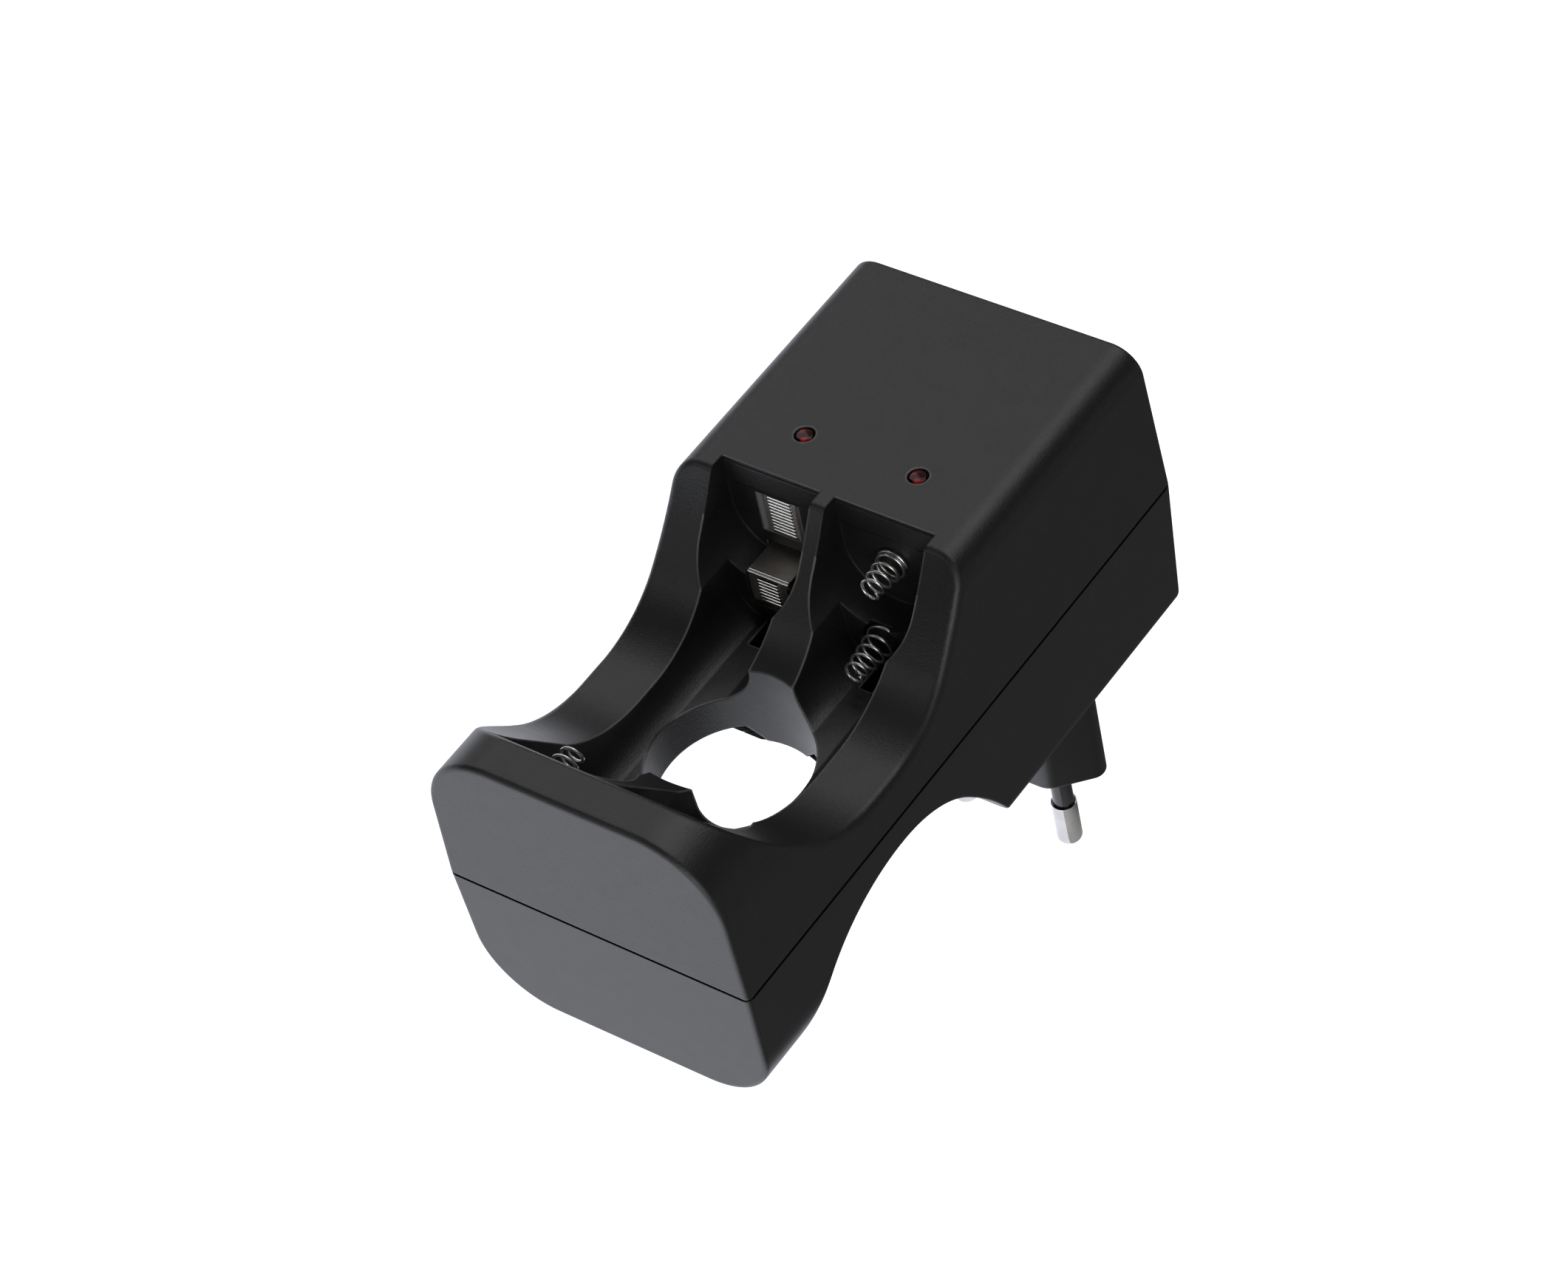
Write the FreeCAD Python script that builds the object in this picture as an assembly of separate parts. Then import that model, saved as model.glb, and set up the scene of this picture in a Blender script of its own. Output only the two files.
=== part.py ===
import FreeCAD, Part
import math
import os

os.makedirs("parts", exist_ok=True)
V = FreeCAD.Vector

# All lengths are millimetres. The case frame used below has X across the
# charger, Y from its front face to the rear and Z up, with Z 0 at the seam
# between the two shells. Parts are written out with the origin moved to the
# plug face, midway between the two pins.

# Case
HALF_WIDTH = 25.5        # at the seam
LENGTH = 107.05          # at the seam
TOP_Z = 26.6
BOTTOM_Z = -25.2
WALL = 2.0
UPPER_SIDE_DRAFT = 0.04
UPPER_REAR_DRAFT = 0.035
LOWER_SIDE_DRAFT = 0.031
LOWER_REAR_DRAFT = 0.02
LOWER_FRONT_LEAN = 0.036
NOSE_TOP_RADIUS = 12.8
NOSE_BOTTOM_RADIUS = 12.0
REAR_TOP_RADIUS = 4.75
REAR_BOTTOM_RADIUS = 3.5
FRONT_EDGE_RADIUS = 0.8
REAR_EDGE_RADIUS = 0.5
SEAM_CHAMFER = 0.05
SEAM_GROOVE = 0.3        # height of the shadow line under the seam
SEAM_GROOVE_DEPTH = 0.6
ZONE_Y = 36.0            # the nose section changes to the rear section here
LIP_HEIGHT = 1.5
LIP_THICKNESS = 1.0
LIP_CLEARANCE = 0.15

# Scoop across the top and arch under the case: radius and angle of each arc
SCOOP_Y = 35.4
SCOOP_Z = 6.6
SCOOP_FLAT = 2.1         # half the flat between the front and rear arcs
SCOOP_FRONT_ARCS = ((22.0, 41.5), (65.0, 17.0))
SCOOP_REAR_ARCS = ((18.5, 48.0), (68.0, 14.0))
SCOOP_EDGE_RADIUS = 1.2
ARCH_Y = 36.2
ARCH_Z = -5.5
ARCH_FLAT = 0.1
ARCH_FRONT_ARCS = ((27.0, 43.2),)
ARCH_REAR_ARCS = ((21.2, 45.8), (55.7, 14.0))
ARCH_EDGE_RADIUS = 0.5
HOLE_RADIUS = 12.2
HOLE_Y = 32.5
RELIEF_Z = -4.8          # finger relief round the lower rim of the hole
RELIEF_FOOT_Z = -8.3
RELIEF_SLOPE = 0.9
RELIEF_TILT = 6.0
RELIEF_DEPTH = 3.6       # at most this far into the arch
WEB_RELIEF_Z = -6.6      # the relief starts lower on the central web
WEB_TOP_Z = -3.0
WEB_TOP_HALF = 6.6
WEB_FOOT_HALF = 3.4

# Battery bays
BAY_X = 9.6
BAY_FRONT_Y = 7.5
CELL_RADIUS = 8.4        # of the larger trough
CELL_Z = 18.0
CELL_END_Y = 63.5
CHANNEL_RADIUS = 5.8     # of the smaller trough below it
CHANNEL_Z = 7.57
CHANNEL_TOP_HALF = 6.15
CHANNEL_END_Y = 57.6
FLOOR_Z = 2.2
SLOT_FRONT_Y = 52.3
SLOT_HALF = 1.05

# Contacts
METAL = 0.4
PLATE_WIDTH = 8.0
WINDOW_WIDTH = 7.0
REAR_WINDOW_HALF = 2.8
JAMB_SPLAY = 1.1
WINDOW_Z0 = 13.9
WINDOW_Z1 = 21.5
PLATE_RECESS = 0.5
PLATE_MARGIN = 0.5
POCKET_CLEARANCE = 0.1
FLAP_Z = 10.4
FLAP_FRONT_Y = 58.1
FLAP_FOOT_Z = 4.9
FLAP_BEND = 0.35
FLAP_SLOT_PLAY = 1.1     # above the flap, in the rear wall

# Springs
WIRE = 0.5
SPRING_BASE_RADIUS = 2.8
SPRING_TIP_RADIUS = 1.95
SPRING_TURNS = 5.0
WIRE_FLATS = 8
AA_SPRING_LENGTH = 6.4
SPRING_POCKET = 1.0      # depth of the round seat of each smaller spring
SPRING_POCKET_PLAY = 0.25
AAA_SPRING_REACH = 6.8    # out of its round seat
AAA_SPRING_LENGTH = AAA_SPRING_REACH + SPRING_POCKET
AA_SPRING_Z = 17.9
AAA_SPRING_Z = 7.3

# Plug
PLUG_REAR_GAP = 17.05    # from the plug's middle to the rear end of the case
PLUG_Y = LENGTH - PLUG_REAR_GAP
PLUG_FACE_Z = -49.3
PLUG_HALF_WIDTH = 18.35
PLUG_HALF_DEPTH = 6.8
PLUG_NOSE_RADIUS = 2.25  # at each narrow end
PLUG_CORNER_RADIUS = 3.5
PLUG_FACE_RADIUS = 0.4
PLUG_CLEARANCE = 0.1
FLANGE_OVERHANG = 2.5
FLANGE_THICKNESS = 1.5
PLUG_FLOOR = 5.0
PIN_X = 9.5
PIN_RADIUS = 2.0
PIN_SHANK_RADIUS = 1.45
PIN_TIP_LENGTH = 8.4
PIN_LENGTH = 19.0
PIN_END_RADIUS = 0.9
PIN_CUP_RADIUS = 1.82    # round the end of the sleeve
PIN_CUP_DEPTH = 0.8
PIN_HEAD_RADIUS = 2.6
PIN_HEAD = 1.2
PIN_TAIL_RADIUS = 1.0
PIN_TAIL = 4.0
SLEEVE_RADIUS = 1.65
SLEEVE_DEPTH = 2.0

# Circuit board and what it carries
BOARD_Z = 8.0
BOARD_THICKNESS = 1.6
BOARD_SIDE_GAP = 1.7
BOARD_FRONT_GAP = 1.3
BOARD_REAR_GAP = 7.5
BOARD_HALF_WIDTH = HALF_WIDTH - WALL - BOARD_SIDE_GAP
BOARD_Y0 = CELL_END_Y + WALL + BOARD_FRONT_GAP
BOARD_Y1 = LENGTH - WALL - BOARD_REAR_GAP
POST_RADIUS = 2.5
POST_INSET = 3.0
REAR_POST_INSET = 4.5
POST_X = BOARD_HALF_WIDTH - POST_INSET
FRONT_POST_Y = BOARD_Y0 + POST_INSET
REAR_POST_Y = BOARD_Y1 - REAR_POST_INSET
LED_INSET = 5.2
LED_Y = BOARD_Y0 + LED_INSET
LED_HOLE_RADIUS = 1.6
LED_RADIUS = 1.5
LED_TOP_GAP = 0.05       # below the top face
LED_DOME = 0.5
LED_HEIGHT = 5.0
LEG_PITCH = 1.27
LEG_RADIUS = 0.3
HOLE_PLAY = 0.1
CORE_FRONT_GAP = 10.5    # from the rear wall of the bays
CORE_REAR_GAP = 13.0     # from the rear wall of the case
CORE_Y0 = CELL_END_Y + WALL + CORE_FRONT_GAP
CORE_Y1 = LENGTH - WALL - CORE_REAR_GAP
CORE_Y = (CORE_Y0 + CORE_Y1) / 2
CORE_HALF_STACK = (CORE_Y1 - CORE_Y0) / 2
CORE_HALF_WIDTH = 15.0
CORE_YOKE = 5.0
CORE_WINDOW_HEIGHT = 15.0
COIL_OVERHANG = 5.0
BOBBIN_WALL = 1.0
BOBBIN_FLANGE = 0.8
BOBBIN_PLAY = 0.1
PRIMARY_DEPTH = 3.6
SECONDARY_DEPTH = 3.2
WINDING_CORNER = 1.5
PIN_ROW_GAP = 3.5
PIN_ROW = CORE_HALF_STACK + PIN_ROW_GAP
PIN_PITCH = 5.0
CAP_RADIUS = 4.0
CAP_HEIGHT = 11.5
PARTS_X = (CAP_RADIUS + POST_X - POST_RADIUS) / 2
PARTS_ROW_GAP = 2.1      # from the rows of transformer pins
PARTS_PER_SIDE = 4
PART_LENGTH = 5.2
LEG_REACH = 1.0
DIODE_RADIUS = 1.3
RESISTOR_RADIUS = 1.1
TRANSISTOR_X = 3.4
TRANSISTOR_INSET = 2.7
TRANSISTOR_Y = BOARD_Y0 + TRANSISTOR_INSET
TRANSISTOR_RADIUS = 2.3
TRANSISTOR_FLAT = 1.4    # from its middle
TRANSISTOR_HEIGHT = 4.6
TRANSISTOR_STANDOFF = 2.0

# Screws
SCREW_RADIUS = 1.0
PILOT_PLAY = 0.03
SCREW_CLEARANCE = 0.3
SCREW_HEAD_RADIUS = 2.2
SCREW_HEAD = 1.5
SCREW_SEAT_Z = -14.0
SCREW_REACH = 8.0
RECESS_RADIUS = 2.6
COLUMN_RADIUS = 3.4
UPPER_BOSS_RADIUS = 3.0
FRONT_SCREW_GAP = 2.4    # outside a channel
FRONT_SCREW_Y = 8.5
FRONT_SCREW = (BAY_X + CHANNEL_RADIUS + FRONT_SCREW_GAP, FRONT_SCREW_Y)
REAR_SCREW_X = 18.9
REAR_SCREW_INSET = 6.3
REAR_SCREW = (REAR_SCREW_X, LENGTH - REAR_SCREW_INSET)
BOARD_SCREW_REACH = 7.0

# Leads
LEAD_RADIUS = 0.6
MAINS_LEAD_RADIUS = 0.8
RAIL_GAP = 1.2           # from the side wall to the middle of the lead
RAIL_PLAY = 0.4
RAIL_X = HALF_WIDTH - WALL - RAIL_GAP
LEAD_Z = 3.0

FAR = 40.0               # beyond the case on any side
SIDES = (-1, 1)


def box(x0, x1, y0, y1, z0, z1):
    return Part.makeBox(x1 - x0, y1 - y0, z1 - z0, V(x0, y0, z0))


def rod(x, y, z0, z1, radius):
    return Part.makeCylinder(radius, z1 - z0, V(x, y, z0))


def rod_x(x0, x1, y, z, radius):
    return Part.makeCylinder(radius, x1 - x0, V(x0, y, z), V(1, 0, 0))


def fused(shapes):
    return shapes[0].multiFuse(shapes[1:]).removeSplitter()


def prism(points, direction):
    return Part.Face(Part.makePolygon(points + points[:1])).extrude(direction)


def mirrored(shape):
    return shape.mirror(V(0, 0, 0), V(1, 0, 0))


def both_sides(shape):
    return [shape, mirrored(shape)]


def flat_edges(shape, axis, low, high):
    """Edges whose whole extent along one axis lies between two values."""
    found = []
    for edge in shape.Edges:
        span = edge.BoundBox
        ends = {"x": (span.XMin, span.XMax), "y": (span.YMin, span.YMax),
                "z": (span.ZMin, span.ZMax)}[axis]
        if low <= ends[0] and ends[1] <= high:
            found.append(edge)
    return found


def long_prism(half, z0, z1, draft, y0, y1, radius):
    """Prism along Y, widest at the seam, with its two far corners rounded."""
    tip0 = half - draft * abs(z0)
    tip1 = half - draft * abs(z1)
    corners = [V(-tip0, y0, z0), V(tip0, y0, z0), V(tip1, y0, z1), V(-tip1, y0, z1)]
    solid = prism(corners, V(0, y1 - y0, 0))
    far_z = z1 if abs(z1) > abs(z0) else z0
    return solid.makeFillet(radius, flat_edges_along_y(solid, far_z))


def flat_edges_along_y(solid, z):
    near = 0.01
    rows = flat_edges(solid, "z", z - near, z + near)
    return [edge for edge in rows if edge.BoundBox.YLength > 1.0]


def side_profile(front, front_far, rear, rear_far, far_z):
    """Prism across the case from a four-sided side view."""
    corners = [V(-FAR, front, 0), V(-FAR, rear, 0), V(-FAR, rear_far, far_z),
               V(-FAR, front_far, far_z)]
    return prism(corners, V(2 * FAR, 0, 0))


def bowl_side(start, arcs, grow, side, up):
    """Tangent arcs from the end of the flat outward, then a straight run."""
    edges = []
    here = start
    turn = 0.0
    for radius, degrees in arcs:
        reach = radius + grow
        stops = []
        for share in (0.5, 1.0):
            angle = turn + math.radians(degrees) * share
            stops.append(here + V(0, side * reach * (math.sin(angle) - math.sin(turn)),
                                  up * reach * (math.cos(turn) - math.cos(angle))))
        edges.append(Part.Arc(here, stops[0], stops[1]).toShape())
        here = stops[1]
        turn += math.radians(degrees)
    end = here + V(0, side * FAR * math.cos(turn), up * FAR * math.sin(turn))
    edges.append(Part.makeLine(here, end))
    return edges, end


def bowl(y, z, flat, front_arcs, rear_arcs, grow, up):
    """Cutter across the case, open upward (up 1) or downward (up -1)."""
    front_start = V(-FAR, y - flat, z - up * grow)
    rear_start = V(-FAR, y + flat, z - up * grow)
    front, front_end = bowl_side(front_start, front_arcs, grow, -1, up)
    rear, rear_end = bowl_side(rear_start, rear_arcs, grow, 1, up)
    edges = front + rear + [Part.makeLine(front_start, rear_start),
                            Part.makeLine(front_end, rear_end)]
    wire = Part.Wire(Part.__sortEdges__(edges))
    return Part.Face(wire).extrude(V(2 * FAR, 0, 0))


def scoop(grow):
    return bowl(SCOOP_Y, SCOOP_Z, SCOOP_FLAT, SCOOP_FRONT_ARCS, SCOOP_REAR_ARCS, grow, 1)


def arch(grow):
    return bowl(ARCH_Y, ARCH_Z, ARCH_FLAT, ARCH_FRONT_ARCS, ARCH_REAR_ARCS, grow, -1)


def lies_on(face, cutter):
    """Whether the middle of a face lies on the skin of a cutter."""
    u0, u1, v0, v1 = face.ParameterRange
    inner = face.valueAt((u0 + u1) / 2, (v0 + v1) / 2)
    return cutter.Shells[0].distToShape(Part.Vertex(inner))[0] < 0.001


def rim_edges(solid, cutter):
    """Edges where the surface that a cutter left meets the rest of a solid."""
    edges = []
    for face in solid.Faces:
        if lies_on(face, cutter):
            edges.extend(face.Edges)
    return [edge for edge in edges if sum(edge.isSame(other) for other in edges) == 1]


def upper_block(inset, y0, y1):
    """The drafted upper body, or its cavity when inset by the wall."""
    half = HALF_WIDTH - inset
    top = TOP_Z - inset
    nose = long_prism(half, 0, top, UPPER_SIDE_DRAFT, y0, ZONE_Y, NOSE_TOP_RADIUS - inset)
    rear = long_prism(half, 0, top, UPPER_SIDE_DRAFT, ZONE_Y, y1, REAR_TOP_RADIUS - inset)
    slope = side_profile(y0, y0, y1, y1 - UPPER_REAR_DRAFT * top, top)
    return fused([nose, rear]).common(slope)


def lower_block(inset, y0, y1, nose_radius, rear_radius):
    half = HALF_WIDTH - inset
    bottom = BOTTOM_Z + inset
    nose = long_prism(half, bottom, 0, LOWER_SIDE_DRAFT, y0, ZONE_Y, nose_radius)
    rear = long_prism(half, bottom, 0, LOWER_SIDE_DRAFT, ZONE_Y, y1, rear_radius)
    slope = side_profile(y0, y0 - LOWER_FRONT_LEAN * bottom, y1,
                         y1 + LOWER_REAR_DRAFT * bottom, bottom)
    return fused([nose, rear]).common(slope)


def end_edges(block, y0, y1):
    """The outline of an end face, without its seam edge."""
    rows = flat_edges(block, "y", y0, y1)
    return [edge for edge in rows if edge.BoundBox.ZLength > 0.05 or abs(edge.BoundBox.ZMax) > 1.0]


def seam_edges(block):
    return flat_edges(block, "z", -0.01, 0.01)


def outer_upper():
    block = upper_block(0, 0, LENGTH)
    front = end_edges(block, -0.01, 0.01)
    block = block.makeFillet(FRONT_EDGE_RADIUS, front)
    rear = end_edges(block, LENGTH - 1.2, LENGTH + 0.01)
    block = block.makeFillet(REAR_EDGE_RADIUS, rear)
    block = block.makeChamfer(SEAM_CHAMFER, seam_edges(block))
    block = block.cut(scoop(0))
    return block.makeFillet(SCOOP_EDGE_RADIUS, rim_edges(block, scoop(0)))


def outer_lower():
    block = lower_block(0, 0, LENGTH, NOSE_BOTTOM_RADIUS, REAR_BOTTOM_RADIUS)
    front = end_edges(block, -0.01, 1.2)
    block = block.makeFillet(FRONT_EDGE_RADIUS, front)
    rear = end_edges(block, LENGTH - 1.2, LENGTH + 0.01)
    block = block.makeFillet(REAR_EDGE_RADIUS, rear)
    block = block.makeChamfer(SEAM_CHAMFER, seam_edges(block))
    block = block.cut(arch(0))
    block = block.makeFillet(ARCH_EDGE_RADIUS, rim_edges(block, arch(0)))
    return block.cut(shadow_line())


def shadow_line():
    """Shallow groove round the top of the lower shell."""
    half = HALF_WIDTH - SEAM_GROOVE_DEPTH
    core = box(-half, half, SEAM_GROOVE_DEPTH, LENGTH - SEAM_GROOVE_DEPTH, -1.0, 1.0)
    return box(-FAR, FAR, -1.0, LENGTH + 1.0, -SEAM_GROOVE, 0.1).cut(core)


def trough(radius, centre_z, floor_z, top_half, top_z, y0, y1):
    """Round-bottomed trough with a flat floor, its walls rising to top_z."""
    half = math.sqrt(max(radius ** 2 - (centre_z - floor_z) ** 2, 0.0))
    middle = math.radians(45)
    right = [V(radius, y0, centre_z), V(top_half, y0, top_z)]
    side = V(radius * math.sin(middle), y0, centre_z - radius * math.cos(middle))
    foot = V(half, y0, floor_z)
    flip = [V(-p.x, p.y, p.z) for p in (right[0], right[1], side, foot)]
    edges = [Part.makeLine(right[1], right[0]), Part.Arc(right[0], side, foot).toShape(),
             Part.Arc(flip[3], flip[2], flip[0]).toShape(), Part.makeLine(flip[0], flip[1]),
             Part.makeLine(flip[1], right[1])]
    if half > 0.01:
        edges.append(Part.makeLine(foot, flip[3]))
    wire = Part.Wire(Part.__sortEdges__(edges))
    return Part.Face(wire).extrude(V(0, y1 - y0, 0))


def bay(side):
    cell = trough(CELL_RADIUS, CELL_Z, CELL_Z - CELL_RADIUS, CELL_RADIUS, FAR,
                  BAY_FRONT_Y, CELL_END_Y)
    rise = CELL_Z - math.sqrt(CELL_RADIUS ** 2 - CHANNEL_TOP_HALF ** 2)
    channel = trough(CHANNEL_RADIUS, CHANNEL_Z, FLOOR_Z, CHANNEL_TOP_HALF, rise,
                     BAY_FRONT_Y, CHANNEL_END_Y)
    lift = box(-CHANNEL_TOP_HALF, CHANNEL_TOP_HALF, BAY_FRONT_Y, CHANNEL_END_Y, rise, CELL_Z)
    slot = box(-SLOT_HALF, SLOT_HALF, SLOT_FRONT_Y, CHANNEL_END_Y, -1.0, FLOOR_Z + 1.0)
    hollow = fused([cell, channel, lift, slot])
    hollow.translate(V(side * BAY_X, 0, 0))
    return hollow


def spring_pockets():
    """Round seats of the two smaller springs."""
    radius = SPRING_BASE_RADIUS + SPRING_POCKET_PLAY
    rear = Part.makeCylinder(radius, SPRING_POCKET + 1.0,
                             V(BAY_X, CHANNEL_END_Y - 1.0, AAA_SPRING_Z), V(0, 1, 0))
    front = Part.makeCylinder(radius, SPRING_POCKET + 1.0,
                              V(-BAY_X, BAY_FRONT_Y - SPRING_POCKET, AAA_SPRING_Z), V(0, 1, 0))
    return [front, rear]


def finger_hole():
    return rod(0, HOLE_Y, -FAR, FAR, HOLE_RADIUS)


def hole_collar():
    """Wall of the finger hole, down to the arch."""
    ring = rod(0, HOLE_Y, BOTTOM_Z, TOP_Z, HOLE_RADIUS + WALL)
    return ring.cut(arch(0)).cut(scoop(0))


def rim_cone(top_z):
    """Cone that opens downward from the hole wall at top_z."""
    drop = top_z - RELIEF_FOOT_Z
    return Part.makeCone(HOLE_RADIUS + drop / RELIEF_SLOPE, HOLE_RADIUS, drop,
                         V(0, HOLE_Y, RELIEF_FOOT_Z))


def finger_relief():
    """Relief round the lower rim of the hole, shallower on the central web."""
    web = prism([V(-WEB_FOOT_HALF, 0, WEB_RELIEF_Z), V(WEB_FOOT_HALF, 0, WEB_RELIEF_Z),
                 V(WEB_TOP_HALF, 0, WEB_TOP_Z), V(-WEB_TOP_HALF, 0, WEB_TOP_Z)],
                V(0, LENGTH, 0))
    below = box(-WEB_FOOT_HALF, WEB_FOOT_HALF, 0, LENGTH, BOTTOM_Z, WEB_RELIEF_Z)
    deep = rim_cone(RELIEF_Z)
    deep.rotate(V(0, HOLE_Y, RELIEF_Z), V(1, 0, 0), RELIEF_TILT)
    deep = deep.cut([web, below])
    return deep.multiFuse([rim_cone(WEB_RELIEF_Z)]).common(arch(RELIEF_DEPTH))


def upper_cavity():
    """Everything inside the upper shell that is left open from below."""
    low = -1.0
    shell = upper_block(WALL, WALL, LENGTH - WALL)
    below = box(-HALF_WIDTH + WALL, HALF_WIDTH - WALL, WALL, LENGTH - WALL, low, 0)
    reach = fused([shell, below])
    front = reach.common(box(-FAR, FAR, 0, BAY_FRONT_Y - WALL, low, FAR))
    rear = reach.common(box(-FAR, FAR, CELL_END_Y + WALL, LENGTH, low, FAR))
    inner_x = BAY_X + CELL_RADIUS + WALL
    lead_x = RAIL_X - LEAD_RADIUS - RAIL_PLAY
    side = box(inner_x, FAR, WALL, CELL_END_Y + 2 * WALL, low, FAR)
    groove = box(lead_x, FAR, WALL, CELL_END_Y + 2 * WALL, low, LEAD_Z + LEAD_RADIUS + RAIL_PLAY)
    rail = reach.common(fused([side, groove])).cut(scoop(WALL))
    under = box(-BAY_X - CELL_RADIUS, BAY_X + CELL_RADIUS, CHANNEL_END_Y + WALL,
                CELL_END_Y + 2 * WALL, low, CELL_Z - CELL_RADIUS - WALL)
    return fused([front, rear, under] + both_sides(rail))


def rear_left_windows():
    """Openings for the two rear contacts of the left bay."""
    half = WINDOW_WIDTH / 2 + POCKET_CLEARANCE
    wide = PLATE_WIDTH / 2 + POCKET_CLEARANCE
    low = WINDOW_Z0 - PLATE_MARGIN - POCKET_CLEARANCE
    high = WINDOW_Z1 + PLATE_MARGIN + POCKET_CLEARANCE
    plate_y = CELL_END_Y + PLATE_RECESS
    back = CELL_END_Y + WALL + 1.0
    inner = REAR_WINDOW_HALF
    outer = inner + JAMB_SPLAY
    window = prism([V(-inner, plate_y, WINDOW_Z0), V(inner, plate_y, WINDOW_Z0),
                    V(outer, CELL_END_Y, WINDOW_Z0), V(-outer, CELL_END_Y, WINDOW_Z0)],
                   V(0, 0, WINDOW_Z1 - WINDOW_Z0))
    pocket = box(-wide, wide, plate_y, back, low, high)
    slot = box(-half, half, CELL_END_Y - 1.0, back, FLAP_Z - POCKET_CLEARANCE,
               FLAP_Z + METAL + FLAP_SLOT_PLAY)
    step = box(-half, half, CHANNEL_END_Y - 1.0, FLAP_FRONT_Y + METAL + POCKET_CLEARANCE,
               FLAP_FOOT_Z - POCKET_CLEARANCE, FLAP_Z + METAL)
    cutter = fused([window, pocket, slot, step])
    cutter.translate(V(-BAY_X, 0, 0))
    return cutter


def front_right_windows():
    """Openings for the strip that serves both cell sizes in the right bay."""
    half = WINDOW_WIDTH / 2
    wide = PLATE_WIDTH / 2 + POCKET_CLEARANCE
    plate_y = BAY_FRONT_Y - PLATE_RECESS
    high = WINDOW_Z1 + PLATE_MARGIN + POCKET_CLEARANCE
    upper = box(-half, half, plate_y, BAY_FRONT_Y + 1.0, WINDOW_Z0, WINDOW_Z1)
    lower = box(-half, half, plate_y, BAY_FRONT_Y + 1.0, FLAP_FOOT_Z, FLAP_Z)
    pocket = box(-wide, wide, BAY_FRONT_Y - WALL - 1.0, plate_y, -1.0, high)
    cutter = fused([upper, lower, pocket])
    cutter.translate(V(BAY_X, 0, 0))
    return cutter


def upper_posts():
    """Posts for the board and bosses for the rear housing screws."""
    board_top = BOARD_Z + BOARD_THICKNESS
    posts = []
    for side in SIDES:
        for y in (FRONT_POST_Y, REAR_POST_Y):
            posts.append(rod(side * POST_X, y, board_top, TOP_Z - WALL / 2, POST_RADIUS))
        posts.append(rod(side * REAR_SCREW[0], REAR_SCREW[1], 0, TOP_Z - WALL / 2,
                         UPPER_BOSS_RADIUS))
    return posts


def upper_bores():
    bores = [rod(side * BAY_X, LED_Y, TOP_Z - 2 * WALL, FAR, LED_HOLE_RADIUS)
             for side in SIDES]
    pilot = SCREW_RADIUS + PILOT_PLAY
    for side in SIDES:
        for x, y in (FRONT_SCREW, REAR_SCREW):
            bores.append(rod(side * x, y, -1.0, SCREW_REACH + 1.0, pilot))
        bores.append(rod(side * POST_X, REAR_POST_Y, BOARD_Z,
                         BOARD_Z + BOARD_THICKNESS + BOARD_SCREW_REACH + 1.0, pilot))
    return bores


def upper_housing():
    shell = outer_upper().cut(upper_cavity())
    shell = shell.multiFuse(upper_posts() + [hole_collar()])
    cutters = [bay(-1), bay(1), finger_hole(), finger_relief(), rear_left_windows(),
               front_right_windows()] + spring_pockets()
    return shell.cut(cutters + upper_bores()).removeSplitter()


def lip():
    """Tongue standing on the lower shell inside the wall of the upper one."""
    half = HALF_WIDTH - WALL - LIP_CLEARANCE
    front = WALL + LIP_CLEARANCE
    rear = LENGTH - WALL - LIP_CLEARANCE
    tongue = box(-half, half, front, rear, 0, LIP_HEIGHT)
    root_half = HALF_WIDTH - WALL / 2
    root = box(-root_half, root_half, WALL / 2, LENGTH - WALL / 2, -LIP_HEIGHT, 0)
    inner = half - LIP_THICKNESS
    hollow = box(-inner, inner, front + LIP_THICKNESS, rear - LIP_THICKNESS, -FAR, FAR)
    return fused([tongue, root]).cut(hollow)


def relief_pad():
    """Thicker ring of the arch behind the finger relief."""
    reach = HOLE_RADIUS + (RELIEF_Z - RELIEF_FOOT_Z) / RELIEF_SLOPE + 2 * WALL
    ring = rod(0, HOLE_Y, BOTTOM_Z, -SEAM_CHAMFER, reach)
    return ring.common(arch(RELIEF_DEPTH + WALL)).cut(arch(0))


def lower_columns():
    columns = []
    for side in SIDES:
        for x, y in (FRONT_SCREW, REAR_SCREW):
            columns.append(rod(side * x, y, BOTTOM_Z, 0, COLUMN_RADIUS))
    return columns


def lower_bores():
    bores = []
    for side in SIDES:
        for x, y in (FRONT_SCREW, REAR_SCREW):
            bores.append(rod(side * x, y, -FAR, SCREW_SEAT_Z, RECESS_RADIUS))
            bores.append(rod(side * x, y, SCREW_SEAT_Z, 1.0, SCREW_RADIUS + SCREW_CLEARANCE))
    return bores


def lower_housing():
    outer = outer_lower()
    cavity = lower_block(WALL, WALL, LENGTH - WALL, NOSE_BOTTOM_RADIUS - WALL,
                         REAR_BOTTOM_RADIUS - WALL)
    cavity = cavity.cut(arch(WALL))
    shell = outer.cut(cavity)
    columns = [column.common(outer) for column in lower_columns()]
    shell = shell.multiFuse(columns + [lip(), relief_pad()])
    opening = plug_prism(PLUG_CLEARANCE, BOTTOM_Z - 1.0, BOTTOM_Z + 2 * WALL)
    sleeve_hole = rod(0, HOLE_Y, -FAR, FAR, HOLE_RADIUS + WALL + PLUG_CLEARANCE)
    cutters = [opening, sleeve_hole, finger_relief()] + lower_bores()
    return shell.cut(cutters).removeSplitter()


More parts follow.
